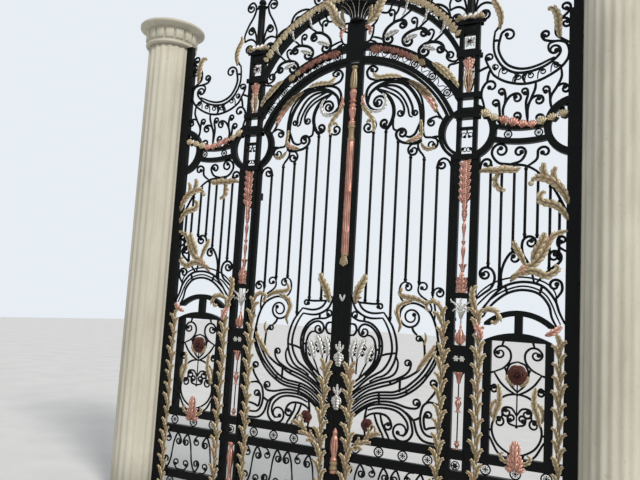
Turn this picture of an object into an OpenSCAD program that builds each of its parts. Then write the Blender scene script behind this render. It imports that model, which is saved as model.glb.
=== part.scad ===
// Wrought iron driveway gate between two round stone columns.
// A double gate leaf hangs between two iron piers under a fixed arched overthrow,
// and a fixed scrollwork panel fills each side between pier and column.
// Units are millimetres, +X to the right seen from the street, +Y into the grounds, +Z up.
// The origin is the centre of the left column's foot.

/* [What to draw] */
// Subcomponent to draw, or all of them

/* [Widths] */
// Distance between the centre lines of the two iron piers
pier_spacing = 2400; // [2000:10:3200]
// Clear width of the slot between the two uprights of a pier
pier_slot = 112; // [80:1:160]
// Width of one pier upright
upright_w = 42; // [30:1:60]
// Width of a fixed side panel between pier and jamb post
side_w = 834; // [700:1:1100]
// Width of a jamb post
jamb_w = 80; // [60:1:120]
// Width of a leaf's hanging stile
hang_w = 42; // [30:1:60]
// Width of a leaf's meeting stile
meet_w = 48; // [30:1:70]
// Space between the two meeting stiles, filled by the cover column
meet_gap = 104; // [90:1:140]
// Running gap round a moving leaf
run_gap = 7; // [5:0.5:12]

/* [Depths] */
// Depth of piers, posts and fixed frames
frame_d = 56; // [40:1:80]
// Depth of the leaf frames
leaf_d = 40; // [30:1:50]
// Thickness of the forged scroll bars
scroll_t = 14; // [8:1:20]
// Width of a scroll bar
scroll_w = 15; // [10:1:20]
// Width of a plain upright bar
bar_w = 18; // [12:1:24]

/* [Heights] */
// Top of the middle rail above the ground
rail_top = 972; // [850:1:1100]
// Depth of each flat rail
rail_h = 86; // [60:1:110]
// Height of the ring bands between two rails
band_h = 100; // [80:1:130]
// Clearance under the leaves
foot_gap = 36; // [20:1:80]
// Centre height of the ring at each arch foot
ring_z = 3910; // [3700:10:4200]
// Height of the iron piers under their caps
pier_h = 4980; // [4900:10:5300]
// Height of the stone columns
column_h = 5600; // [5300:10:5900]

/* [Stone columns] */
// Height of the capital
capital_h = 390; // [250:5:500]
// Diameter of the shaft
shaft_d = 534; // [400:1:700]
// Diameter of the capital
capital_d = 900; // [700:5:1100]
// Number of shallow flutes
flutes = 20; // [12:1:28]

/* [Hidden] */
$fn = 48;
pier_x = pier_spacing / 2;
pier_half = pier_slot / 2 + upright_w;
leaf_out = pier_x - pier_half - run_gap + 1;
leaf_in = meet_gap / 2;
open_in = leaf_in + meet_w;
open_out = leaf_out - hang_w;
side_x0 = pier_x + pier_half;
side_x1 = side_x0 + side_w;
jamb_x1 = side_x1 + jamb_w;
column_x = jamb_x1 + shaft_d / 2;
// Space between the top of a jamb post and the capital that overhangs it
post_clear = 10;
post_h = column_h - capital_h - post_clear;
// Lower arch: its bands share one centre, which lies under the rings at its feet
arch_drop = 270;
arch_inset = 85;
arch_z = ring_z - arch_drop;
arch_r = pier_x - arch_inset;
leaf_rail = 30;
band1 = arch_r + run_gap;
band1_w = 44;
ring_zone = 74;
band2 = band1 + band1_w + ring_zone;
band2_w = 70;
// Ring at each arch foot
ring_r = 213;
ring_t = 28;
leaf_ring = ring_r + ring_t + run_gap;
// Upper arch: two hoops round a centre above the rings
crown_rise = 290;
crown_z = ring_z + crown_rise;
crown_r = arch_r + 75;
crown_w = 50;
crown_gap = 60;
crown_top = crown_z + crown_r + 2 * crown_w + crown_gap;
// The hoops of the crown end here at the piers, above the rings
crown_foot = arch_z + 400;
key_half = 100;
// Angle between the ties that join the two hoops
tie_step = 11.6;
key_top = crown_z + crown_r - 198;
rail2_top = rail_top - rail_h - band_h;
rail3_top = foot_gap + 2 * rail_h + band_h;
// Tops of the four flat rails, from the middle rail down
rails = [rail_top, rail2_top, rail3_top, foot_gap + rail_h];
// Colours of the real piece
iron = "#1b1d1e";
gold = "#b59a5b";
copper = "#b0755a";
red = "#7a1c22";
stone = "#cbc3b0";

// Moves control points read on the nominal gate to the current sizes
function hz(z) = z <= 972 ? z * rail_top / 972
    : z <= 3640 ? rail_top + (z - 972) * (arch_z - rail_top) / 2668
    : arch_z + (z - 3640) * arch_r / 1115;
function lx(x) = open_in + (x - 100) * (open_out - open_in) / 954;
function sx(x) = side_x0 + (x - 1298) * side_w / 834;
function lp(p) = [lx(p[0]), hz(p[1])];
function sp(p) = [sx(p[0]), hz(p[1])];

// A curve is divided where it bends more than this many degrees, but not finer than this length
bend_step = 50;
min_step = 24;
// Whorls below this radius need fewer points
small_whorl = 75;
// Curves: a whorl closes in on its centre, a smooth curve runs through its control points
function whorl(c, p, turns) =
    let (d = p - c, r = norm(d), k = min(0.8, max(0.28, scroll_w / r)), a = atan2(d[1], d[0]),
        n = max(2, ceil(abs(turns) * (r < small_whorl ? 6 : 7))))
    [for (i = [0:n]) c + r * pow(k, i / n) * [cos(a + turns * 360 * i / n), sin(a + turns * 360 * i / n)]];
function rev(v) = [for (i = [len(v) - 1:-1:0]) v[i]];
function hermite(a, b, c, d, t) =
    let (s1 = sqrt(norm(b - a)), s2 = sqrt(norm(c - b)), s3 = sqrt(norm(d - c)),
        m1 = c - b + s2 * ((b - a) / s1 - (c - a) / (s1 + s2)),
        m2 = c - b + s2 * ((d - c) / s3 - (d - b) / (s2 + s3)))
    (2 * (b - c) + m1 + m2) * t * t * t + (3 * (c - b) - 2 * m1 - m2) * t * t + m1 * t + b;
function corner(p, i) =
    i < 1 || i > len(p) - 2 ? 0
    : let (a = p[i] - p[i - 1], b = p[i + 1] - p[i]) acos(max(-1, min(1, a * b / (norm(a) * norm(b)))));
function steps(p, i) =
    max(1, min(3, ceil(max(corner(p, i), corner(p, i + 1)) / bend_step), ceil(norm(p[i + 1] - p[i]) / min_step)));
function smooth(p) =
    let (n = len(p))
    concat([for (i = [0:n - 2]) for (j = [0:steps(p, i) - 1])
        hermite(i > 0 ? p[i - 1] : 2 * p[0] - p[1], p[i], p[i + 1],
            i < n - 2 ? p[i + 2] : 2 * p[n - 1] - p[n - 2], j / steps(p, i))], [p[n - 1]]);
function normal(p, i) =
    let (d = p[min(i + 1, len(p) - 1)] - p[max(i - 1, 0)]) [-d[1], d[0]] / norm(d);

// Flat plate or bar from an outline drawn in the X-Z plane
module flat(t, y = 0)
    translate([0, y, 0])
        rotate([90, 0, 0])
            linear_extrude(height = t, center = true)
                children();

// Flat bar bent along a path, thinning toward both ends
function half_w(p, i, w, thin) = w / 2 * (1 - (1 - thin) * pow(abs(2 * i / (len(p) - 1) - 1), 3));
module bent(p, w, thin = 0.75)
    polygon(concat(
        [for (i = [0:len(p) - 1]) p[i] + normal(p, i) * half_w(p, i, w, thin)],
        [for (i = [len(p) - 1:-1:0]) p[i] - normal(p, i) * half_w(p, i, w, thin)]));

// Closes hair gaps where bars cross, so that crossings are one piece
module fused()
    offset(delta = -0.6)
        offset(delta = 1)
            children();
// A panel of fused bars, trimmed to the opening that it is welded into
module panel(t = scroll_t, y = 0)
    flat(t, y)
        offset(delta = -0.1)
            intersection() {
                fused()
                    children(0);
                offset(delta = 0.1)
                    children(1);
            }

// Forged scroll: [control points, [whorl centre, turns] or 0 at the start, same at the end]
module scroll(s, w = scroll_w) {
    p = s[0];
    a = s[1] ? rev(whorl(s[1][0], p[0], s[1][1])) : [p[0]];
    b = s[2] ? whorl(s[2][0], p[len(p) - 1], s[2][1]) : [p[len(p) - 1]];
    path = smooth(concat(a, [for (i = [1:1:len(p) - 2]) p[i]], b));
    bent(path, w);
    if (s[1])
        translate(a[0])
            circle(d = w * 1.5, $fn = 6);
    if (s[2])
        translate(b[len(b) - 1])
            circle(d = w * 1.5, $fn = 6);
}
function mapl(s) =
    [[for (q = s[0]) lp(q)], s[1] ? [lp(s[1][0]), s[1][1]] : 0, s[2] ? [lp(s[2][0]), s[2][1]] : 0];
function maps(s) =
    [[for (q = s[0]) sp(q)], s[1] ? [sp(s[1][0]), s[1][1]] : 0, s[2] ? [sp(s[2][0]), s[2][1]] : 0];

module strip(x0, x1, z0, z1)
    translate([min(x0, x1), z0])
        square([abs(x1 - x0), z1 - z0]);
module disc(c, r, n = 96)
    translate(c)
        circle(r = r, $fn = n);
module hoop(c, r0, r1, n = 96)
    difference() {
        disc(c, r1, n);
        disc(c, r0, n);
    }
module bar(x0, x1, z0, z1, d, y = 0)
    translate([min(x0, x1), y - d / 2, z0])
        cube([abs(x1 - x0), d, z1 - z0]);
module both() {
    children();
    mirror([1, 0, 0])
        children();
}
module side(s)
    mirror([s < 0 ? 1 : 0, 0, 0])
        children();

// Outer form of one leaf, notched round the ring at the arch foot
module leaf_form()
    difference() {
        intersection() {
            union() {
                disc([0, arch_z], arch_r, 108);
                strip(leaf_in, leaf_out, foot_gap, arch_z);
            }
            strip(leaf_in, leaf_out, foot_gap, arch_z + arch_r);
        }
        disc([pier_x, ring_z], leaf_ring, 72);
    }
module leaf_opening()
    difference() {
        intersection() {
            union() {
                disc([0, arch_z], arch_r - leaf_rail, 108);
                strip(open_in, open_out, foot_gap, arch_z);
            }
            strip(open_in, open_out, foot_gap, arch_z + arch_r);
        }
        disc([pier_x, ring_z], leaf_ring + leaf_rail, 72);
    }

// Leaves
module leaf_frame()
    color(iron)
        flat(leaf_d)
            offset(delta = -1)
                offset(delta = 1)
                    difference() {
                        leaf_form();
                        difference() {
                            leaf_opening();
                            for (z = rails)
                                strip(0, leaf_out, z - rail_h, z);
                        }
                    }
// Plain rings between two rails, each just clear of both by its weld
weld = 0.35;
module ring_at(x, z, d, y = 0)
    flat(scroll_t, y)
        translate([x, z])
            difference() {
                circle(d = d - 2 * weld);
                circle(d = d - 26);
            }
module ring_band(x0, x1, z0, z1, n)
    for (i = [0:n - 1])
        ring_at(x0 + (x1 - x0) * (i + 0.5) / n, (z0 + z1) / 2, z1 - z0);
module base_panel(x0, x1, n)
    color(iron) {
        ring_band(x0, x1, rail2_top, rail_top - rail_h, n);
        ring_band(x0, x1, foot_gap + rail_h, rail3_top - rail_h, n);
        panel() {
            base_scrolls(x0, x1, rail3_top, rail2_top - rail_h, n);
            strip(x0, x1, rail3_top, rail2_top - rail_h);
        }
    }
// Row of standing S scrolls in a low panel
module base_scrolls(x0, x1, z0, z1, n) {
    w = (x1 - x0) / n;
    h = z1 - z0;
    edge = scroll_w / 2 - 2;
    for (i = [0:n - 1])
        for (t = [1, -1]) {
            // each half of the S is the other one turned about the middle, c
            c = [x0 + w * (i + 0.5), z0 + h / 2];
            m = i < n / 2 ? t : -t;
            scroll([[c, c + [m * w * 0.07, t * h * 0.27], c + [m * w * 0.24, t * (h / 2 - edge)],
                c + [m * w * 0.44, t * h * 0.3]], 0, [c + [m * w * 0.3, t * h * 0.27], -m * t * 1.1]]);
            scroll([[c + [-m * w * 0.5, t * (h / 2 - 4)], c + [-m * w * 0.3, t * (h / 2 - edge)],
                c + [-m * w * 0.12, t * h * 0.33]], 0, [c + [-m * w * 0.26, t * h * 0.31], -m * t * 0.85]],
                scroll_w * 0.8);
        }
}

// Swirl in the head of a leaf
swirl = [
    [[[350, 4325], [362, 4290], [345, 4235], [290, 4208], [225, 4220], [172, 4270], [145, 4350],
        [150, 4430], [190, 4489], [271, 4522],
        [373, 4527], [485, 4529], [597, 4494], [672, 4438], [747, 4377], [812, 4302], [868, 4209],
            [915, 4116], [975, 4030]],
        [[283, 4292], 1.5], 0],
    [[[934, 4070], [900, 4092], [845, 4078]],
        0, [[848, 4035], 1.1]],
    [[[160, 4290], [185, 4390], [233, 4440], [308, 4482], [401, 4498], [523, 4475], [607, 4414],
        [672, 4330], [714, 4246], [736, 4150],
        [742, 4060], [740, 3950], [747, 3845]],
        0, 0],
    [[[340, 4498], [523, 4497], [640, 4430], [725, 4320], [761, 4170], [766, 4060], [766, 3957],
        [790, 3895], [850, 3885], [900, 3868]],
        0, [[860, 3815], -1.2]],
    [[[233, 4440], [320, 4462], [448, 4452], [541, 4396], [607, 4302], [648, 4200], [650, 4140]],
        0, [[676, 4150], 0.9]],
    [[[308, 4462], [401, 4424], [485, 4377], [551, 4302], [597, 4209], [622, 4120], [650, 4110]],
        0, 0],
    [[[290, 4430], [373, 4396], [457, 4349], [523, 4284], [560, 4200], [552, 4140]],
        0, [[522, 4160], -0.9]],
    [[[250, 4445], [336, 4382], [392, 4340], [439, 4256], [453, 4172], [439, 4097], [405, 4030],
        [378, 3995]],
        0, 0],
    [[[453, 4130], [425, 4050], [364, 4018]],
        0, [[358, 4070], -1.0]],
    [[[243, 4004], [205, 3985]],
        0, [[180, 4040], -1.0]],
    [[[243, 3990], [264, 4060], [225, 4140], [150, 4240], [90, 4340]],
        0, 0],
    [[[225, 4220], [190, 4190]],
        0, 0],
    [[[745, 3845], [690, 3832], [616, 3842], [560, 3854], [508, 3888], [487, 3945]],
        0, [[550, 3945], -1.2]],
    [[[452, 4100], [450, 4040], [462, 3995], [510, 3978]],
        0, 0],
    [[[742, 4070], [715, 4000], [680, 3930], [630, 3905], [590, 3915]],
        0, 0],
    [[[745, 3870], [700, 3850], [644, 3820], [620, 3775], [640, 3730]],
        0, [[676, 3765], 0.9]],
    [[[722, 3845], [722, 3795], [744, 3750], [775, 3712], [788, 3680]],
        0, 0],
    [[[252, 4655], [190, 4690], [140, 4640], [160, 4570], [240, 4535], [330, 4525]],
        [[212, 4650], -0.5], 0],
    [[[1058, 3585], [1030, 3645], [985, 3668], [943, 3649], [927, 3600]],
        0, [[970, 3605], 0.9]],
    [[[850, 3885], [905, 3890], [960, 3880]],
        0, 0],
    [[[520, 4160], [570, 4175]],
        0, 0]
];
// Upright bars: [x, foot, head], with a curl at the foot
leaf_bars = [[243, 2236, 4004], [378, 2240, 4004], [512, 2080, 3890], [650, 2455, 3725],
    [788, 2440, 3695], [925, 2340, 3610]];
bar_feet = [
    [[[650, 2470], [612, 2440], [597, 2395], [600, 2340], [625, 2290], [667, 2262]], 0, 0],
    [[[650, 2462], [686, 2454]], 0, [[680, 2412], -0.9]],
    [[[788, 2450], [783, 2380], [813, 2336], [859, 2305], [900, 2270], [922, 2215], [912, 2185]], 0, 0],
    [[[788, 2430], [800, 2455]], 0, [[835, 2420], -0.8]],
    [[[925, 2360], [929, 2313], [945, 2265], [956, 2200], [951, 2110]], 0, 0],
    [[[925, 2335], [940, 2395]], 0, [[990, 2368], -1.2]]
];
module leaf_swirl()
    color(iron) panel() {
        union() {
            for (s = concat(swirl, bar_feet))
                scroll(mapl(s));
            for (b = leaf_bars)
                strip(lx(b[0]) - bar_w / 2, lx(b[0]) + bar_w / 2, hz(b[1]), hz(b[2]));
        }
        difference() {
            leaf_opening();
            offset(delta = 0.4)
                shell_lines();
        }
    }

// Half shell in the foot of a leaf: lines fan out from the meeting stile
fan_low = [[90, 1040], [160, 1110], [230, 1175], [299, 1229], [368, 1263], [437, 1279], [506, 1283],
    [583, 1279], [652, 1263],
    [705, 1233], [748, 1190], [771, 1130]];
fan_mid = [[90, 1145], [170, 1212], [245, 1280], [322, 1330], [400, 1358], [498, 1371], [575, 1380],
    [640, 1398], [713, 1436],
    [805, 1513], [882, 1597], [943, 1697]];
shell = [
    [fan_low, 0, [[668, 1060], -1.5]],
    [[[330, 1213], [414, 1243], [498, 1252], [575, 1248], [637, 1229], [690, 1190], [725, 1144],
        [737, 1091], [722, 1045], [690, 1012]],
        0, 0],
    [concat(fan_mid, [[989, 1804], [1000, 1880], [989, 1960], [970, 2050], [900, 2190],
        [760, 2262]]), 0, [[722, 2130], 1.9]],
    [[[90, 1110], [170, 1180], [245, 1245], [322, 1296], [400, 1329], [498, 1342], [575, 1350],
        [637, 1366], [706, 1400], [790, 1458],
        [860, 1526], [912, 1597], [960, 1672], [990, 1740], [1011, 1815], [1002, 1890]], 0, 0],
    [[[90, 1078], [170, 1150], [245, 1213], [322, 1264], [400, 1297], [498, 1313], [575, 1312],
        [652, 1296], [706, 1283], [767, 1279],
        [813, 1286], [842, 1315]], 0, [[806, 1335], 1.0]],
    [[[90, 1172], [170, 1245], [245, 1312], [322, 1358], [400, 1386], [498, 1400], [575, 1409],
        [640, 1434], [700, 1466], [767, 1524],
        [828, 1586], [882, 1662], [943, 1773], [974, 1842], [986, 1920]], 0, 0],
    [[[90, 1205], [170, 1275], [245, 1342], [322, 1395], [400, 1428], [475, 1455], [544, 1478],
        [600, 1504], [637, 1530], [706, 1560],
        [760, 1592], [820, 1640], [856, 1700], [872, 1760], [868, 1830], [859, 1899],
            [832, 1940]], 0, [[806, 1930], 0.9]],
    [[[90, 1240], [160, 1304], [230, 1368], [299, 1416], [383, 1456], [460, 1485], [537, 1508],
        [590, 1528], [637, 1552], [690, 1584],
        [728, 1630], [742, 1685]], 0, [[708, 1692], 1.0]],
    [[[90, 1275], [150, 1330], [220, 1392], [290, 1440], [370, 1482], [452, 1518], [530, 1545],
        [580, 1580], [606, 1630], [612, 1690],
        [590, 1750]], 0, 0],
    // scroll behind the rose, and the two stems from the rail
    [[[300, 1135], [345, 1171], [399, 1190], [460, 1194], [514, 1183], [552, 1152],
        [571, 1110]], 0, [[532, 1088], -0.9]],
    [[[312, 960], [300, 1040], [300, 1135], [322, 1264]], 0, 0],
    [[[395, 1188], [420, 1115], [455, 1050], [490, 990], [500, 960]], 0, 0],
    [[[456, 1193], [478, 1110], [515, 1040], [548, 985], [556, 960]], 0, 0],
    // scrolls in the outer bottom corner
    [[[690, 1245], [721, 1229], [759, 1198], [790, 1167], [805, 1121], [820, 1075], [843, 1037],
        [878, 1006], [920, 991], [1060, 988]],
        0, 0],
    [[[1060, 1335], [1000, 1345], [943, 1355], [905, 1344], [874, 1313], [859, 1267], [851, 1213],
        [855, 1160], [867, 1114], [890, 1075],
        [925, 1052], [1060, 1045]], 0, 0],
    [[[890, 1330], [920, 1367], [951, 1405], [978, 1444], [993, 1482], [997, 1520]], 0, [[962, 1528], 0.9]],
    [[[1060, 1133], [997, 1133], [943, 1121], [905, 1108], [888, 1160], [886, 1213],
        [905, 1258]], 0, [[930, 1235], -0.8]],
    [[[786, 1175], [820, 1188], [856, 1212]], 0, 0],
    // ties between the bars
    [[[640, 1415], [640, 1560]], 0, 0],
    [[[544, 1470], [542, 1520]], 0, 0],
    [[[713, 1395], [705, 1450]], 0, 0],
    [[[440, 1275], [430, 1400]], 0, 0],
    [[[905, 1580], [880, 1605]], 0, 0],
    [[[735, 2043], [752, 2000], [790, 1962]], 0, 0],
    // outline of the shell's folded edge
    [[[90, 2330], [118, 2240], [150, 2175], [199, 2135], [253, 2108], [307, 2096], [360, 2096],
        [437, 2104]], 0, 0],
    [[[437, 2104], [466, 2064], [500, 2000], [526, 1930], [542, 1860], [546, 1790], [530, 1720],
        [495, 1650], [452, 1598], [399, 1564],
        [330, 1520], [268, 1468], [200, 1400], [90, 1295]], 0, 0],
    [[[165, 2262], [184, 2236], [215, 2190], [261, 2160], [322, 2146], [383, 2148], [446, 2158]], 0, 0],
    [[[446, 2158], [499, 2090], [536, 2036], [560, 1983], [578, 1930], [590, 1868], [594, 1800],
        [580, 1710], [552, 1643], [514, 1586],
        [465, 1550], [400, 1526], [330, 1484]], 0, 0],
    [[[135, 2300], [150, 2262], [180, 2246], [240, 2242], [330, 2237],
        [398, 2241]], 0, [[405, 2215], -0.75]],
    [[[118, 2290], [170, 2256]], 0, 0],
    [[[90, 1915], [140, 1920], [168, 1970], [150, 2020], [90, 2030]], 0, 0],
    [[[118, 2100], [146, 2083], [184, 2066], [253, 2060], [307, 2049], [353, 2022], [391, 1983],
        [422, 1930], [441, 1868], [445, 1800],
        [436, 1738], [414, 1674], [380, 1614], [330, 1560], [260, 1494], [90, 1345]],
            [[145, 2122], -0.8], 0],
    [[[192, 1960], [205, 2006], [245, 2031], [291, 2026], [337, 2001], [376, 1960], [404, 1907],
        [416, 1845], [416, 1776], [404, 1715],
        [380, 1655], [340, 1596], [280, 1536]], [[252, 1958], 1.1], 0],
    [[[250, 1912], [291, 1926], [330, 1918], [360, 1884], [376, 1830], [382, 1776], [376, 1715],
        [355, 1650], [310, 1590], [250, 1530],
        [90, 1390]], 0, 0],
    [[[404, 1840], [445, 1830]], 0, 0],
    [[[376, 1800], [418, 1790]], 0, 0],
    [[[436, 1738], [490, 1760], [546, 1770], [594, 1780]], 0, 0],
    [[[153, 2160], [150, 2182]], 0, 0],
    [[[245, 2060], [245, 2108]], 0, 0]
];
module shell_lines()
    fused()
        for (s = shell)
            scroll(mapl(s));
module leaf_shell()
    color(iron) panel() {
        shell_lines();
        strip(open_in, open_out, rail_top, arch_z);
    }

// Stone columns
module column_shaft()
    color(stone)
        linear_extrude(height = column_h - capital_h)
            difference() {
                circle(d = shaft_d);
                for (i = [0:flutes - 1])
                    rotate(360 / flutes * (i + 0.5))
                        translate([shaft_d / 2 + 22, 0])
                            circle(r = 34);
            }
// Turned capital: necking, dentil band and a thin round slab
dentils = 36;
module column_capital() {
    r = shaft_d / 2;
    slab = capital_d / 2;
    color(stone)
        translate([0, 0, column_h - capital_h]) {
            rotate_extrude()
                polygon([[0, 0], [r + 12, 0], [r + 30, 20], [r + 12, 44], [r + 4, 60],
                    [r + 10, capital_h - 290],
                    [r + 60, capital_h - 240], [slab - 50, capital_h - 220], [slab - 50, capital_h - 120],
                    [slab - 10, capital_h - 90], [slab, capital_h - 70], [slab, capital_h],
                        [0, capital_h]]);
            for (i = [0:dentils - 1])
                rotate(i * 360 / dentils)
                    translate([slab - 52, -18, capital_h - 210])
                        cube([22, 36, 80]);
        }
}

module jamb_post()
    color(iron)
        bar(side_x1, jamb_x1, 0, post_h, frame_d);

// Piers
// Cross ledges of the open lantern above the leaf, up from the arch foot ring
ledges = [[-270, 52], [133, 46], [331, 52], [743, 50]];
function lz(h) = h < 0 ? ring_z + h : ring_z + h * (pier_h - ring_z) / 1070;
plate_t = 14;
plate_over = 22;
// Step back of the plates level with the rails, clear of the garlands
plate_in = 26;
cap_h = 36;
spire_h = 620;
// Blocks between the uprights lower down: [foot, top]
blocks = [[0, 300], [700, 785], [885, 972], [1660, 1900], [2330, 2380]];
module slot_block(z0, z1)
    bar(pier_x - pier_slot / 2, pier_x + pier_slot / 2, z0, z1, frame_d);
// Moulded plate on the street and house faces of a pier, or on one of them
module face_plate(z0, z1, faces = [-1, 1])
    for (m = faces)
        bar(pier_x - pier_half - plate_over, pier_x + pier_half + plate_over, z0, z1,
            plate_t, m * (frame_d + plate_t) / 2);
module pier()
    color(iron) {
        for (m = [-1, 1])
            bar(pier_x + m * pier_slot / 2, pier_x + m * pier_half, 0, pier_h, frame_d);
        for (b = blocks)
            slot_block(hz(b[0]), hz(b[1]));
        // the lowest ledge has no plate behind it, where the leaf swings
        for (l = ledges) {
            slot_block(lz(l[0]), lz(l[0] + l[1]));
            face_plate(lz(l[0]), lz(l[0] + l[1]), l[0] < 0 ? [-1] : [-1, 1]);
        }
        bar(pier_x - pier_half, pier_x + pier_half, pier_h, pier_h + cap_h, frame_d);
        face_plate(pier_h, pier_h + cap_h);
        for (z = [rail_top, foot_gap + rail_h])
            bar(pier_x - pier_half + plate_in, pier_x + pier_half - plate_in, z - rail_h, z,
                plate_t, -(frame_d + plate_t) / 2);
    }
// Turned baluster of the pier's slot: a profile in shares of its radius and height
baluster = [[1, 0], [1, 0.02], [0.55, 0.035], [0.42, 0.16], [0.5, 0.3], [0.8, 0.5], [0.95, 0.62],
    [0.8, 0.74],
    [0.45, 0.82], [0.42, 0.87], [0.85, 0.93], [0.9, 1]];
module turned(z0, z1, r, n = 1) {
    h = (z1 - z0) / n;
    translate([pier_x, 0, z0])
        rotate_extrude()
            polygon(concat([[0, 0]],
                [for (i = [0:n - 1]) for (q = baluster) [q[0] * r, (i + q[1]) * h]],
                [[0, z1 - z0]]));
}
// Spire on the pier's cap
module spire(z0, h, r)
    translate([pier_x, 0, z0])
        rotate_extrude()
            polygon([[0, 0], [r, 0], [r, h * 0.03], [r * 0.5, h * 0.08], [r * 0.9, h * 0.2], [r, h * 0.28],
                [r * 0.75, h * 0.4], [r * 0.35, h * 0.47], [r * 0.6, h * 0.51], [r * 0.35, h * 0.56],
                [r * 0.45, h * 0.7], [r * 0.25, h * 0.85], [0, h]]);
// Spear drop and fleur between the blocks, flat
module pier_fleur()
    flat(leaf_t)
        intersection() {
            union() {
                strip(pier_x - 8, pier_x + 8, hz(1900), hz(2330));
                translate([pier_x, hz(1900)])
                    polygon([[-8, 0], [-30, 40], [-34, 90], [-20, 128], [0, 150], [20, 128], [34, 90],
                        [30, 40], [8, 0]]);
                both_at(pier_x)
                    bent(smooth([[pier_x, hz(2130)], [pier_x + 24, hz(2190)],
                        [pier_x + pier_slot / 2 + 4, hz(2254)]]), 18);
            }
            strip(pier_x - pier_slot / 2, pier_x + pier_slot / 2, hz(1900), hz(2330));
        }
module both_at(x) {
    children();
    translate([2 * x, 0])
        mirror([1, 0])
            children();
}
module pier_balusters()
    color(copper) {
        turned(hz(2380), lz(ledges[0][0]), 42, 2);
        turned(hz(972), hz(1660), 34);
        turned(hz(300), hz(700), 40);
        turned(lz(ledges[2][0] + ledges[2][1]), lz(ledges[3][0]), 46);
        turned(lz(ledges[3][0] + ledges[3][1]), pier_h, 34);
        pier_fleur();
        spire(pier_h + cap_h, spire_h, 40);
    }

// Overthrow
module both_2d() {
    children();
    mirror([1, 0])
        children();
}
module overthrow_span()
    strip(pier_half - pier_x, pier_x - pier_half, ring_z - ring_r - ring_t - 1, crown_z + crown_r + 900);
module overthrow_arch()
    color(iron)
        flat(frame_d)
            offset(delta = -1)
                offset(delta = 1)
                    intersection() {
                        union() {
                            hoop([0, arch_z], band1, band1 + band1_w, 144);
                            hoop([0, arch_z], band2, band2 + band2_w, 144);
                            intersection() {
                                union() {
                                    hoop([0, crown_z], crown_r, crown_r + crown_w, 108);
                                    hoop([0, crown_z], crown_top - crown_z - crown_w, crown_top - crown_z, 108);
                                }
                                strip(-pier_x, pier_x, crown_foot, crown_top + 1);
                            }
                            both_2d()
                                hoop([pier_x, ring_z], ring_r, ring_r + ring_t, 72);
                            for (a = [tie_step:tie_step:4.5 * tie_step])
                                both_2d()
                                    translate([0, crown_z])
                                        rotate(-a)
                                            strip(-scroll_w, scroll_w, crown_r + crown_w - 2,
                                                crown_r + crown_w + crown_gap + 2);
                            strip(-key_half, key_half, arch_z + band1 + 5, key_top);
                            strip(-key_half, key_half, crown_z + crown_r + crown_w / 2, crown_top - crown_w / 2);
                        }
                        difference() {
                            overthrow_span();
                            both_2d()
                                disc([pier_x, ring_z], ring_r, 72);
                        }
                    }
ring_mid = band1 + band1_w + ring_zone / 2;
module overthrow_rings()
    color(iron)
        both()
            for (a = [9.8:11.4:60])
                ring_at(ring_mid * sin(a), arch_z + ring_mid * cos(a), ring_zone);
// Scrolls of the tympanum, right half, as read on the nominal gate
tympanum = [
    // three arched C scrolls, each linked to the crown
    [[[688, 4800], [717, 4837], [767, 4859], [823, 4865], [887, 4850], [929, 4815], [943, 4770]],
        [[752, 4775], 1.0], [[905, 4778], -0.9]],
    [[[512, 4930], [526, 4966], [569, 4999], [625, 5018], [682, 5026], [731, 5015], [766, 4980]],
        [[575, 4908], 1.0], [[728, 4972], -0.9]],
    [[[300, 4985], [310, 5035], [336, 5077], [378, 5112], [427, 5138], [484, 5146], [526, 5130],
        [542, 5098]],
        [[365, 4960], 1.0], [[503, 5092], -0.9]],
    [[[830, 4860], [880, 4900], [945, 4960]], 0, 0],
    [[[668, 5022], [710, 5060], [790, 5125]], 0, 0],
    [[[456, 5140], [520, 5185], [610, 5250]], 0, 0],
    // short scrolls that spring from them
    [[[396, 5118], [410, 5170], [412, 5222]], 0, [[376, 5240], 0.8]],
    [[[412, 5200], [450, 5260], [460, 5330]], 0, 0],
    [[[640, 5018], [656, 5066], [658, 5108]], 0, [[622, 5118], 0.8]],
    [[[767, 4859], [812, 4900], [834, 4950]], 0, [[800, 4968], 0.7]],
    [[[60, 5080], [130, 5105], [210, 5170], [250, 5260], [330, 5250], [370, 5300], [380, 5350]], 0, 0],
    [[[60, 5200], [150, 5196], [225, 5190]], 0, 0],
    [[[60, 4950], [150, 4975], [180, 5040], [190, 5140]], 0, 0],
    [[[150, 4975], [210, 4950], [250, 4900], [262, 4870]], 0, 0],
    [[[300, 4960], [255, 4985], [175, 5010]], 0, 0],
    // scrolls against the pier
    [[[1110, 4620], [1055, 4610], [1005, 4600], [990, 4530]], 0, 0],
    [[[1110, 4700], [1075, 4640], [1020, 4640], [975, 4680], [985, 4730]], 0, [[1010, 4700], -0.9]],
    [[[985, 4730], [952, 4770]], 0, 0]
];
// Palmette of ribs over the keystone
palmette = [for (a = [20:20:160])
    [[[0, 0], 70 * [cos(a), sin(a)], 400 / (1 + abs(cos(a))) * [cos(a), sin(a)]], 0, 0]];
function tp(p) = [p[0] * (pier_x - pier_half) / 1102, hz(p[1])];
function mapt(s) =
    [[for (q = s[0]) tp(q)], s[1] ? [tp(s[1][0]), s[1][1]] : 0, s[2] ? [tp(s[2][0]), s[2][1]] : 0];
module overthrow_scrolls()
    color(iron)
        panel() {
            union() {
                both_2d()
                    for (s = tympanum)
                        scroll(mapt(s));
                for (s = palmette)
                    scroll([[for (q = s[0]) [0, key_top - 5] + q], 0, 0]);
            }
            difference() {
                intersection() {
                    overthrow_span();
                    disc([0, crown_z], crown_r, 108);
                }
                disc([0, arch_z], band2 + band2_w, 144);
                strip(-key_half, key_half, arch_z, key_top);
            }
        }
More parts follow.
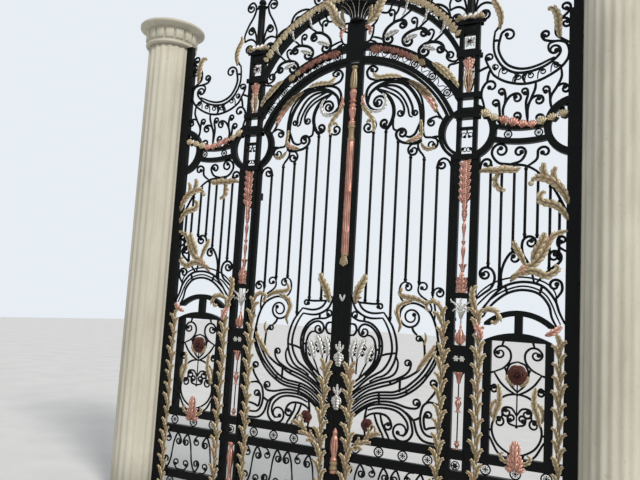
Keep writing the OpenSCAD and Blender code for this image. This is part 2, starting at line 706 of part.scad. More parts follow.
// Crest over the crown, mostly above the photograph
crest = [
    [[[60, 20], [80, 160], [170, 250], [270, 210]], 0, [[215, 170], -1.2]],
    [[[120, -30], [260, 20], [400, 60], [520, 20]], 0, [[455, -30], -1.1]],
    [[[300, -60], [330, 60], [420, 150]], 0, [[430, 90], -1.0]],
    [[[480, -160], [640, -110], [760, -150], [800, -250]], 0, [[725, -220], -1.1]],
    [[[700, -330], [860, -300], [960, -360], [990, -450]], 0, [[920, -420], -1.0]],
    [[[40, 20], [30, 200], [60, 330], [0, 460]], 0, 0],
    [[[0, 130], [60, 145], [100, 170]], 0, 0],
    [[[270, 212], [330, 140], [345, 80]], 0, 0],
    [[[420, 150], [500, 110], [540, 10]], 0, 0]
];
// Two S scrolls that lean on the spire of each pier, from the pier's cap
cap_scrolls = [
    [[[40, 60], [60, 130], [120, 170], [190, 150]], 0, [[150, 115], -1.0]],
    [[[95, 0], [170, 8], [195, 50], [180, 85]], 0, [[135, 60], 0.9]]
];
cap_at = [pier_x, pier_h + cap_h];
function crest_at(p) = [p[0] * pier_x / 1200, crown_top + p[1]];
module overthrow_crest()
    color(iron) {
        panel() {
            both_2d()
                for (s = crest)
                    scroll([[for (q = s[0]) crest_at(q)], 0, s[2] ? [crest_at(s[2][0]), s[2][1]] : 0], scroll_w + 3);
            difference() {
                strip(-pier_x, pier_x, crown_z, crown_top + 600);
                disc([0, crown_z], crown_top - crown_z, 108);
            }
        }
        panel() {
            both_2d()
                both_at(pier_x)
                    for (s = cap_scrolls)
                        scroll([[for (q = s[0]) cap_at + q], 0, [cap_at + s[2][0], s[2][1]]]);
            difference() {
                both_2d()
                    both_at(pier_x)
                        strip(pier_x + 24, pier_x + 300, cap_at[1], cap_at[1] + 400);
                disc([0, crown_z], crown_top - crown_z, 108);
            }
        }
    }

// Side panels
side_cx = (side_x0 + side_x1) / 2;
stile_w = 34;
door_w = 460;
door_bar = 70;
sag_r = 872;
sag_rise = 892;
sag_gap = 80;
sag_w = 35;
// Crown heights and outer radii of the two arches over the small panel
door_top = hz(2045);
door_r = 616;
door_top2 = hz(2245);
door_r2 = 438;
module side_frame()
    color(iron) {
        bar(side_x0, side_x0 + stile_w, 0, ring_z - ring_r - ring_t, frame_d);
        bar(side_x1 - stile_w, side_x1, 0, pier_h + 20, frame_d);
        for (z = rails)
            bar(side_x0 + stile_w, side_x1 - stile_w, z - rail_h, z, frame_d);
        for (m = [-1, 1])
            bar(side_cx + m * door_w / 2, side_cx + m * (door_w / 2 + door_bar), rail_top, hz(1967), frame_d);
        flat(frame_d)
            side_bands();
    }
// Curved parts of the side frame: the two door arches and their key, the rings and the sagging rails
module side_bands()
    offset(delta = -1)
        offset(delta = 1) {
            door_arch(door_top, hz(1967), door_r, door_bar + 10);
            door_arch(door_top2, hz(2100), door_r2, door_bar - 20);
            strip(side_cx - 34, side_cx + 34, door_top - 10, door_top2 - 40);
            side_rings();
            side_sag();
        }
// Arch over the small panel: crown height, foot height, outer radius and width of its band
module door_arch(z, foot, r, w)
    intersection() {
        hoop([side_cx, z - r], r - w, r, 96);
        strip(side_cx - door_w / 2 - door_bar, side_cx + door_w / 2 + door_bar, foot, z + 1);
    }
module side_rings()
    intersection() {
        for (x = [pier_x, side_x1 + jamb_w / 2])
            hoop([x, ring_z], ring_r, leaf_ring + leaf_rail, 72);
        strip(side_x0, side_x1 - stile_w, 0, 2 * ring_z);
    }
module side_sag()
    difference() {
        intersection() {
            union() {
                hoop([side_cx, ring_z + sag_rise], sag_r, sag_r + sag_w, 144);
                hoop([side_cx, ring_z + sag_rise], sag_r + sag_gap + sag_w, sag_r + sag_gap + 2 * sag_w + 15, 144);
            }
            strip(side_x0, side_x1 - stile_w, 0, ring_z + 200);
        }
        for (x = [pier_x, side_x1 + jamb_w / 2])
            disc([x, ring_z], leaf_ring + leaf_rail - 20, 72);
    }
// Rings between the two sagging rails
module sag_rings() {
    r = sag_r + sag_w + sag_gap / 2;
    for (a = [-8.2, 8.2])
        ring_at(side_cx + r * sin(a), ring_z + sag_rise - r * cos(a), sag_gap);
}
module side_base()
    base_panel(side_x0 + stile_w, side_x1 - stile_w, 3);
// Scrolls of a side panel above the small arched panel
side_high = [
    // double U with its volutes
    [[[1485, 4810], [1471, 4710], [1499, 4620], [1556, 4540], [1647, 4492], [1738, 4482],
        [1840, 4504], [1930, 4542], [1975, 4560]],
        [[1565, 4825], -1.1], 0],
    [[[1437, 4890], [1426, 4790], [1431, 4688], [1465, 4597], [1522, 4518], [1624, 4455],
        [1749, 4448], [1874, 4480], [1953, 4525],
        [2012, 4580]], 0, [[1970, 4628], 1.1]],
    [[[1352, 4625], [1375, 4560], [1397, 4518], [1430, 4455], [1511, 4393], [1590, 4359],
        [1704, 4336], [1817, 4347], [1930, 4393],
        [2032, 4461], [2089, 4540], [2096, 4620], [2066, 4688], [1987, 4712], [1925, 4690]],
            [[1392, 4630], -0.9], [[1985, 4635], 0.55]],
    [[[1990, 4712], [1930, 4720], [1880, 4740], [1857, 4785]], 0, [[1895, 4788], -0.9]],
    [[[1470, 4790], [1420, 4790]], 0, 0],
    [[[1975, 4830], [1985, 4775], [2040, 4725], [2110, 4680]], 0, 0],
    [[[1990, 4770], [1980, 4860], [2021, 4924], [2066, 4920], [2106, 4885]], 0, [[2070, 4872], -0.9]],
    [[[2012, 4916], [2075, 4965], [2102, 5005]], 0, [[2062, 5030], 0.9]],
    [[[1437, 4880], [1480, 4940], [1500, 5010], [1480, 5090], [1440, 5150]], 0, 0],
    [[[1290, 4500], [1330, 4520], [1385, 4540]], 0, 0],
    [[[1624, 4455], [1640, 4420], [1625, 4360]], 0, 0],
    [[[1749, 4448], [1700, 4410], [1720, 4345]], 0, 0],
    [[[1953, 4530], [1990, 4490], [2040, 4470]], 0, 0],
    // scrolls that stand on the sagging rails
    [[[1362, 4110], [1343, 4189], [1324, 4257], [1333, 4330], [1372, 4385]], 0, [[1414, 4340], -0.8]],
    [[[1372, 4385], [1385, 4460], [1400, 4510]], 0, 0],
    [[[1545, 3940], [1532, 4041], [1528, 4109], [1551, 4177], [1592, 4232],
        [1645, 4250]], 0, [[1650, 4203], -0.9]],
    [[[1531, 4110], [1543, 4170], [1548, 4223], [1539, 4280]], 0, [[1508, 4280], 0.8]],
    [[[1500, 3945], [1500, 4060], [1494, 4121], [1489, 4177]], 0, [[1456, 4175], 0.8]],
    [[[1532, 4041], [1500, 4030]], 0, 0],
    [[[1758, 3925], [1740, 4060], [1734, 4166], [1747, 4220], [1748, 4262]], 0, [[1718, 4264], 0.8]],
    [[[1752, 4000], [1752, 4109], [1783, 4189], [1828, 4211], [1872, 4200]], 0, [[1846, 4166], -0.9]],
    [[[1665, 3925], [1674, 3979], [1688, 4030]], 0, [[1654, 4035], 0.8]],
    [[[1985, 3960], [1974, 4041], [1948, 4120], [1942, 4200], [1936, 4250]], 0, [[1904, 4262], 0.8]],
    [[[1817, 4347], [1811, 4279], [1772, 4180]], 0, 0],
    [[[2032, 4461], [2038, 4370], [1998, 4279], [1953, 4200], [1944, 4140]], 0, 0],
    [[[1998, 4279], [2050, 4302], [2101, 4272]], 0, [[2072, 4252], -0.8]],
    [[[2110, 3985], [2101, 4060]], 0, [[2064, 4080], 0.72]],
    [[[1888, 3925], [1893, 3985]], 0, [[1852, 3998], 0.8]]
];
side_mid = [
    [[[1900, 3440], [1854, 3495], [1747, 3559], [1600, 3580], [1500, 3600],
        [1440, 3680]], 0, [[1520, 3712], -1.3]],
    [[[1600, 3580], [1700, 3610], [1742, 3690]], 0, [[1685, 3690], 1.0]],
    [[[1760, 3555], [1840, 3620], [1850, 3700]], 0, [[1905, 3680], -0.9]],
    [[[1332, 3540], [1348, 3610]], 0, [[1400, 3595], -0.9]],
    [[[1470, 2600], [1495, 2530], [1465, 2440], [1400, 2385], [1332, 2330]], [[1410, 2560], 1.4], 0],
    [[[1400, 2250], [1480, 2360], [1587, 2459], [1747, 2502], [1907, 2470], [2014, 2352],
        [2050, 2250], [2098, 2150]], 0, 0],
    [[[1405, 2180], [1430, 2230], [1520, 2330], [1620, 2400], [1747, 2430], [1880, 2400],
        [1965, 2300], [1990, 2200], [2030, 2120]],
        0, 0],
    [[[1587, 2465], [1610, 2390]], 0, 0],
    [[[1907, 2475], [1885, 2395]], 0, 0],
    [[[1405, 2180], [1332, 2150]], 0, 0],
    [[[1884, 3460], [1960, 3385], [2040, 3250], [2110, 3110]], 0, 0],
    [[[1560, 2440], [1550, 2560], [1580, 2680], [1640, 2765]], 0, [[1662, 2712], -1.0]],
    [[[1840, 2490], [1800, 2640], [1735, 2760], [1730, 2860]], 0, [[1800, 2855], -1.3]],
    [[[1850, 2490], [1950, 2600], [2050, 2690]], 0, [[2000, 2735], 1.3]],
    [[[2098, 2780], [2030, 2830], [2030, 2890]], 0, [[2065, 2880], -0.8]],
    [[[2014, 2352], [2070, 2440], [2060, 2510]], 0, [[2010, 2480], 1.0]]
];
// Upright bars of a side panel: [x, foot, head]
side_bars = [[1432, 2630, 3610], [1534, 2420, 3590], [1646, 2770, 3580], [1747, 2900, 3560],
    [1854, 2895, 3490], [1960, 2600, 3390], [2040, 2700, 3255]];
module side_scrolls() {
    color(iron) sag_rings();
    color(iron) panel() {
        union() {
            for (s = concat(side_high, side_mid))
                scroll(maps(s));
            for (b = side_bars)
                strip(sx(b[0]) - bar_w / 2, sx(b[0]) + bar_w / 2, hz(b[1]), hz(b[2]));
        }
        difference() {
            union() {
                strip(side_x0 + stile_w, side_x1 - stile_w, hz(2100), ring_z);
                strip(side_x0, side_x1 - stile_w, ring_z, 2 * ring_z);
            }
            side_bands();
            disc([side_cx, door_top2 - door_r2], door_r2 - 1, 96);
        }
    }
}
door_half = [
    [[[1510, 1870], [1545, 1915], [1600, 1922], [1648, 1880], [1652, 1810], [1600, 1738],
        [1512, 1692]], [[1560, 1860], 1.0], 0],
    [[[1512, 1692], [1545, 1640], [1575, 1600], [1640, 1545], [1715, 1505]], 0, 0],
    [[[1715, 1795], [1650, 1768], [1622, 1690], [1650, 1600], [1715, 1530]], 0, 0],
    [[[1530, 1430], [1580, 1470], [1640, 1502], [1715, 1515]], 0, 0],
    [[[1715, 1330], [1670, 1390], [1610, 1390]], 0, [[1630, 1350], 1.0]],
    [[[1715, 1240], [1650, 1260], [1640, 1310]], 0, [[1670, 1305], -0.8]],
    [[[1575, 1925], [1600, 1985], [1640, 2010]], 0, 0],
    [[[1622, 1700], [1606, 1735]], 0, 0],
    [[[1552, 1446], [1500, 1400], [1475, 1375]], 0, 0],
    [[[1512, 1692], [1475, 1680]], 0, 0],
    [[[1590, 1300], [1600, 1390]], 0, 0],
    [[[1512, 1180], [1475, 1190]], 0, 0],
    [[[1650, 1005], [1660, 965]], 0, 0],
    [[[1590, 1300], [1540, 1295], [1508, 1235], [1512, 1150], [1560, 1065], [1640, 1010],
        [1715, 985]], [[1568, 1262], -0.9], 0],
    [[[1485, 1560], [1520, 1580], [1540, 1550]], 0, [[1515, 1540], -0.8]],
    [[[1485, 1130], [1560, 1000], [1600, 972]], 0, 0]
];
module side_door_scrolls()
    color(iron) panel() {
        union() {
            for (m = [0, 1])
                translate([m ? 2 * side_cx : 0, 0])
                    mirror([m, 0])
                        for (s = door_half)
                            scroll(maps(s), scroll_w - 3);
            strip(side_cx - 6, side_cx + 6, hz(1235), hz(1790));
        }
        union() {
            strip(side_cx - door_w / 2, side_cx + door_w / 2, rail_top, hz(1900));
            intersection() {
                disc([side_cx, door_top - door_r], door_r - door_bar - 10, 96);
                strip(side_cx - door_w / 2, side_cx + door_w / 2, rail_top, hz(2100));
            }
        }
    }
// Gilded leaves
// One leaf blade from its root along a direction, its tip curled to one side
module blade(a, l, w, turn)
    rotate(a)
        polygon([[0, -w * 0.12], [l * 0.4, -w * 0.5], [l, turn * w * 0.6], [l * 0.3, w * 0.45]]);
// Spray of blades in turn left and right of a curved stem, and one at its end
module spray(p, w = 80, step = 62) {
    n = len(p) - 1;
    bent(smooth(p), 13);
    for (i = [0:n - 1]) {
        d = p[i + 1] - p[i];
        k = max(1, round(norm(d) / step));
        for (j = [0:k - 1])
            translate(p[i] + d * (j + 0.3) / k)
                rotate(atan2(d[1], d[0]) - 90)
                    mirror([(i + j) % 2, 0, 0])
                        blade(56, w, w * 0.56, -1);
    }
    translate(p[n])
        blade(atan2(p[n][1] - p[n - 1][1], p[n][0] - p[n - 1][0]), w * 0.8, w * 0.5, 0);
}
leaf_t = 12;
module gilt(y)
    flat(leaf_t, y - leaf_t / 2)
        fused()
            children();
// Sprays of a leaf on its scrolls, and those on its frame: [points on the stem, width]
leaf_sprays = [
    [[[592, 1960], [584, 2080], [604, 2190], [660, 2272], [750, 2300], [850, 2262]], 62],
    [[[134, 2278], [150, 2370], [200, 2440]], 60],
    [[[856, 1650], [900, 1730], [945, 1830]], 56],
    [[[215, 4556], [300, 4550], [420, 4548]], 44],
    [[[250, 4030], [240, 4120], [190, 4190], [150, 4250], [140, 4330]], 44],
    [[[616, 3842], [690, 3850], [735, 3900]], 56],
    [[[745, 3845], [800, 3785], [860, 3762]], 56],
    [[[590, 4500], [680, 4430], [760, 4330], [810, 4240]], 50]
];
frame_sprays = [
    [[[230, 777], [285, 880], [385, 955], [445, 1000]], 80],
    [[[1029, 2170], [1000, 2225], [950, 2262], [900, 2225]], 56]
];
module leaf_garlands()
    color(gold) {
        flat(leaf_t, -(scroll_t + leaf_t) / 2)
            intersection() {
                fused()
                    for (q = leaf_sprays)
                        spray([for (p = q[0]) lp(p)], q[1]);
                offset(delta = -0.3)
                    leaf_opening();
            }
        gilt(-leaf_d / 2) {
            for (q = frame_sprays)
                spray([for (p = q[0]) lp(p)], q[1]);
            spray([[leaf_out - hang_w - 24, hz(560)], [leaf_out - hang_w - 24, hz(2170)]], 74);
            spray([[open_in + 12, foot_gap + 40], [open_in + 12, hz(1500)]], 80);
        }
    }
side_sprays = [
    [[[1350, 300], [1350, 2240]], 88],
    [[[2062, 300], [2062, 2030]], 88],
    [[[1350, 2040], [1390, 2110], [1430, 2150]], 74],
    [[[2062, 2030], [2010, 2090], [1970, 2130]], 74],
    [[[1715, 850], [1715, 1080]], 96],
    [[[1600, 985], [1650, 930], [1715, 950]], 56],
    [[[1830, 985], [1780, 930], [1715, 950]], 56],
    [[[1325, 3530], [1500, 3545], [1660, 3525]], 60],
    [[[1480, 3545], [1500, 3380], [1450, 3240]], 66],
    [[[2110, 3180], [2060, 3330], [1970, 3460], [1890, 3530]], 72],
    [[[2110, 3070], [2020, 3160], [1880, 3290]], 60],
    [[[2110, 2985], [1980, 2880], [1894, 2766], [1800, 2620]], 90],
    [[[1640, 2590], [1780, 2565], [1900, 2590], [2010, 2625]], 76],
    [[[1420, 4030], [1560, 3965], [1715, 3945], [1870, 3965], [2010, 4030]], 84]
];
top_sprays = [
    [[[1437, 4890], [1484, 4960], [1502, 5030], [1480, 5100]], 66],
    [[[2005, 4765], [1985, 4850], [1990, 4930], [1960, 5000]], 56]
];
module side_garlands()
    color(gold) {
        gilt(-frame_d / 2)
            for (q = side_sprays)
                spray([for (p = q[0]) sp(p)], q[1]);
        gilt(-scroll_t / 2)
            for (q = top_sprays)
                spray([for (p = q[0]) sp(p)], q[1]);
    }
// Copper garland on the lower arch and a gilt one on the crown
function along(c, r, a0, a1, n) =
    [for (i = [0:n]) c + r * [sin(a0 + (a1 - a0) * i / n), cos(a0 + (a1 - a0) * i / n)]];
module overthrow_garlands()
    color(gold)
        gilt(-frame_d / 2)
            both_2d() {
                spray(along([0, arch_z], band2 + band2_w - 4, 44, 10, 6), 84, 70);
                spray(along([0, crown_z], crown_r + crown_w + crown_gap / 2, 50, 6, 8), 84, 80);
            }

// Hinges
barrel_d = 34;
pin_d = 18;
pin_fit = 0.1;
knuckle_h = 80;
lug_h = 30;
hinge_y = frame_d / 2 + run_gap + barrel_d / 2;
hinge_x = leaf_out + run_gap / 2;
hinge_zs = [hz(330), hz(2080), hz(3350)];
module hinge_pins()
    color(iron) for (z = hinge_zs) {
        translate([hinge_x, hinge_y, z - knuckle_h / 2 - lug_h])
            cylinder(d = pin_d, h = knuckle_h + 2 * lug_h);
        for (k = [-knuckle_h / 2 - lug_h, knuckle_h / 2]) {
            translate([hinge_x, hinge_y, z + k])
                cylinder(d = barrel_d, h = lug_h);
            translate([pier_x - pier_half, frame_d / 2, z + k])
                cube([upright_w, hinge_y + 10 - frame_d / 2, lug_h]);
        }
    }
module hinge_barrels()
    color(iron) for (z = hinge_zs)
        difference() {
            union() {
                translate([hinge_x, hinge_y, z - knuckle_h / 2 + 1])
                    cylinder(d = barrel_d, h = knuckle_h - 2);
                translate([leaf_out - hang_w, leaf_d / 2, z - knuckle_h / 2 + 1])
                    cube([hang_w - 4, hinge_y - leaf_d / 2 + 8, knuckle_h - 2]);
            }
            translate([hinge_x, hinge_y, z - knuckle_h / 2])
                cylinder(d = pin_d + 2 * pin_fit, h = knuckle_h);
        }
module leaf_base()
    base_panel(open_in, open_out, 4);
module side_rose()
    rose(side_cx, hz(1679), 72, -scroll_t / 2);
module leaf_rose()
    rose(lx(330), hz(1070), 62, -scroll_t / 2);
// Rose of three rows of petals
module rose(x, z, r, y)
    color(red)
        translate([x, y, z])
            rotate([90, 0, 0])
                for (k = [0:2])
                    translate([0, 0, 10 * k])
                        linear_extrude(height = 10)
                            for (i = [0:4])
                                rotate(72 * i + 36 * k)
                                    translate([r * (0.48 - 0.17 * k), 0])
                                        circle(r = r * (0.5 - 0.12 * k));
// Copper column that covers the joint of the two leaves, on a flat bar, with two ring ornaments
cover_profile = [[0, 2560], [16, 2560], [34, 2620], [30, 2680], [34, 2700], [34, 3260], [30, 3760],
    [34, 3840],
    [34, 3900], [24, 3960], [36, 4060], [36, 4120], [24, 4180], [30, 4320], [36, 4460], [20, 4570],
        [36, 4640],
    [36, 4670], [0, 4670]];
bulb_profile = [[0, 600], [14, 600], [20, 640], [14, 670], [34, 760], [38, 820], [30, 890], [16, 940],
    [22, 970],
    [0, 1000]];
module cover_column()
    color(copper) {
        bar(-leaf_in + 12, leaf_in, hz(560), arch_z + arch_r - 60, 10, leaf_d / 2 - 5);
        rotate_extrude()
            polygon([for (q = cover_profile) [q[0], hz(q[1])]]);
        rotate_extrude()
            polygon([for (q = bulb_profile) [q[0], hz(q[1])]]);
        for (z = [1330, 1720])
            flat(scroll_t, 3)
                hoop([0, hz(z)], 26, 42, 48);
    }

translate([column_x, 0, 0]) {
    translate([-column_x, 0, 0]) column_shaft();  // left_column_shaft
    translate([column_x, 0, 0]) column_shaft();  // right_column_shaft
    translate([-column_x, 0, 0]) column_capital();  // left_column_capital
    translate([column_x, 0, 0]) column_capital();  // right_column_capital
    side(-1) jamb_post();  // left_jamb_post
    jamb_post();  // right_jamb_post
    side(-1) pier();  // left_pier
    pier();  // right_pier
    side(-1) pier_balusters();  // left_pier_balusters
    pier_balusters();  // right_pier_balusters
    side(-1) side_frame();  // left_side_frame
    side_frame();  // right_side_frame
    side(-1) side_base();  // left_side_base
    side_base();  // right_side_base
    side(-1) side_scrolls();  // left_side_scrolls
    side_scrolls();  // right_side_scrolls
    side(-1) side_door_scrolls();  // left_small_panel
    side_door_scrolls();  // right_small_panel
    side(-1) side_garlands();  // left_side_garlands
    side_garlands();  // right_side_garlands
    side(-1) side_rose();  // left_side_rose
    side_rose();  // right_side_rose
    side(-1) hinge_pins();  // left_hinge_pins
    hinge_pins();  // right_hinge_pins
    side(-1) leaf_frame();  // left_leaf_frame
    leaf_frame();  // right_leaf_frame
    side(-1) leaf_swirl();  // left_leaf_swirl
    leaf_swirl();  // right_leaf_swirl
    side(-1) leaf_shell();  // left_leaf_shell
    leaf_shell();  // right_leaf_shell
    side(-1) leaf_base();  // left_leaf_base
    leaf_base();  // right_leaf_base
    side(-1) leaf_garlands();  // left_leaf_garlands
    leaf_garlands();  // right_leaf_garlands
    side(-1) leaf_rose();  // left_leaf_rose
    leaf_rose();  // right_leaf_rose
    side(-1) hinge_barrels();  // left_hinge_barrels
    hinge_barrels();  // right_hinge_barrels
    overthrow_arch();
    overthrow_rings();
    overthrow_scrolls();
    overthrow_crest();
    overthrow_garlands();
    cover_column();
}
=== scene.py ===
# Dressed model of a wrought iron driveway gate between two round stone columns.
# Sizes are millimetres in the gate's own plane: x to the right from the gate's centre, z up and
# y toward the grounds. They become metres in the frame's axes when a piece is made.
import itertools
import math

import bmesh
import bpy
import numpy as np
from mathutils import Matrix, Vector


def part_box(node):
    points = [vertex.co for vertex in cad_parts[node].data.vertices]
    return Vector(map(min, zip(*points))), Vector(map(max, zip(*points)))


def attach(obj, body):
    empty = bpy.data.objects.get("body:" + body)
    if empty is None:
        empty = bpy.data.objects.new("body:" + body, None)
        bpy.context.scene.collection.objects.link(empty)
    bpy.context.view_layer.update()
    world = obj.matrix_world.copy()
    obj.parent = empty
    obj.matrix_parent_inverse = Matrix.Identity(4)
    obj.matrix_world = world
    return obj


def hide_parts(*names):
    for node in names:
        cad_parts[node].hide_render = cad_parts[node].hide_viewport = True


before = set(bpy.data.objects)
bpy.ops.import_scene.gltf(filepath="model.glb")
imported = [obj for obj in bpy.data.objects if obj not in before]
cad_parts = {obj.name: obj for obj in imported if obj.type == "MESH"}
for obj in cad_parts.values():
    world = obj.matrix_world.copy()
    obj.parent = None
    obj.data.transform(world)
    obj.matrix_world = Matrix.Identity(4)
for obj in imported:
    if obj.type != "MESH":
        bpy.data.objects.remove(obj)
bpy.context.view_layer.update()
rng = np.random.RandomState(11)

PIER_X = 1200.0
SIDE_X0, SIDE_X1 = 1298.0, 2132.0
SIDE_CX = (SIDE_X0 + SIDE_X1) / 2
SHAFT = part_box("right_column_shaft")
COLUMN_X = (SHAFT[0][0] + SHAFT[1][0]) * 250
SHAFT_R, SHAFT_H = (SHAFT[1][0] - SHAFT[0][0]) * 500, SHAFT[1][2] * 1000
CAP_TOP, KEY_TOP, CROWN_TOP = 5016.0, 5192.0, 5550.0
ARCH, CROWN = (0.0, 3640.0), (0.0, 4200.0)
ARCH_OUT, CROWN_OUT, RING_ROW_R = 1310.0, 1350.0, 1203.0
SAG_CENTRE, SAG_R = 4802.0, 947.0
SCROLL_W, SCROLL_T, BAR_W = 20.0, 15.0, 26.0
FRAME_D, LEAF_D = 56.0, 40.0
# the front faces of the scroll bars, of the leaves' frames and of the fixed frame
ON_BAR, ON_LEAF, ON_FRAME = -SCROLL_T / 2, -LEAF_D / 2, -FRAME_D / 2
# low panels between the rails: foot and top of the ring rows and of the scroll row
RING_ROWS = [(786.0, 886.0), (122.0, 222.0)]
SCROLL_ROW = (308.0, 700.0)

# Forged bars. Each row is the bar's control points, x and z in turn. A whorl before or after them
# is (centre x, centre z, turns). Upright bars are (x, foot, top).
SWIRL = [
    ((283, 4292, 1.5), 350, 4325, 362, 4290, 345, 4235, 290, 4208, 225, 4220, 172, 4270, 145, 4350,
     150, 4430, 190, 4489, 271, 4522, 373, 4527, 485, 4529, 597, 4494, 672, 4438, 747, 4377, 812, 4302,
     868, 4209, 915, 4116, 975, 4030),
    (934, 4070, 900, 4092, 845, 4078, (848, 4035, 1.1)),
    (160, 4290, 185, 4390, 233, 4440, 308, 4482, 401, 4498, 523, 4475, 607, 4414, 672, 4330, 714, 4246,
     736, 4150, 742, 4060, 740, 3950, 747, 3845),
    (340, 4498, 523, 4497, 640, 4430, 725, 4320, 761, 4170, 766, 4060, 766, 3957, 790, 3895, 850, 3885,
     900, 3868, (860, 3815, -1.2)),
    (233, 4440, 320, 4462, 448, 4452, 541, 4396, 607, 4302, 648, 4200, 650, 4140, (676, 4150, 0.9)),
    (308, 4462, 401, 4424, 485, 4377, 551, 4302, 597, 4209, 622, 4120, 650, 4110),
    (290, 4430, 373, 4396, 457, 4349, 523, 4284, 560, 4200, 552, 4140, (522, 4160, -0.9)),
    (250, 4445, 336, 4382, 392, 4340, 439, 4256, 453, 4172, 439, 4097, 405, 4030, 378, 3995),
    (453, 4130, 425, 4050, 364, 4018, (358, 4070, -1)),
    (243, 4004, 205, 3985, (180, 4040, -1)),
    (243, 3990, 264, 4060, 225, 4140, 150, 4240, 90, 4340),
    (225, 4220, 190, 4190),
    (745, 3845, 690, 3832, 616, 3842, 560, 3854, 508, 3888, 487, 3945, (550, 3945, -1.2)),
    (452, 4100, 450, 4040, 462, 3995, 510, 3978),
    (742, 4070, 715, 4000, 680, 3930, 630, 3905, 590, 3915),
    (745, 3870, 700, 3850, 644, 3820, 620, 3775, 640, 3730, (676, 3765, 0.9)),
    (722, 3845, 722, 3795, 744, 3750, 775, 3712, 788, 3680),
    ((212, 4650, -0.5), 252, 4655, 190, 4690, 140, 4640, 160, 4570, 240, 4535, 330, 4525),
    (1058, 3585, 1030, 3645, 985, 3668, 943, 3649, 927, 3600, (970, 3605, 0.9)),
    (850, 3885, 905, 3890, 960, 3880),
    (520, 4160, 570, 4175)
]
LEAF_BARS = [(243, 2236, 4004), (378, 2240, 4004), (512, 2080, 3890), (650, 2455, 3725), (788, 2440, 3695),
             (925, 2340, 3610)]
BAR_FEET = [
    (650, 2470, 612, 2440, 597, 2395, 600, 2340, 625, 2290, 667, 2262),
    (650, 2462, 686, 2454, (680, 2412, -0.9)),
    (788, 2450, 783, 2380, 813, 2336, 859, 2305, 900, 2270, 922, 2215, 912, 2185),
    (788, 2430, 800, 2455, (835, 2420, -0.8)),
    (925, 2360, 929, 2313, 945, 2265, 956, 2200, 951, 2110),
    (925, 2335, 940, 2395, (990, 2368, -1.2))
]
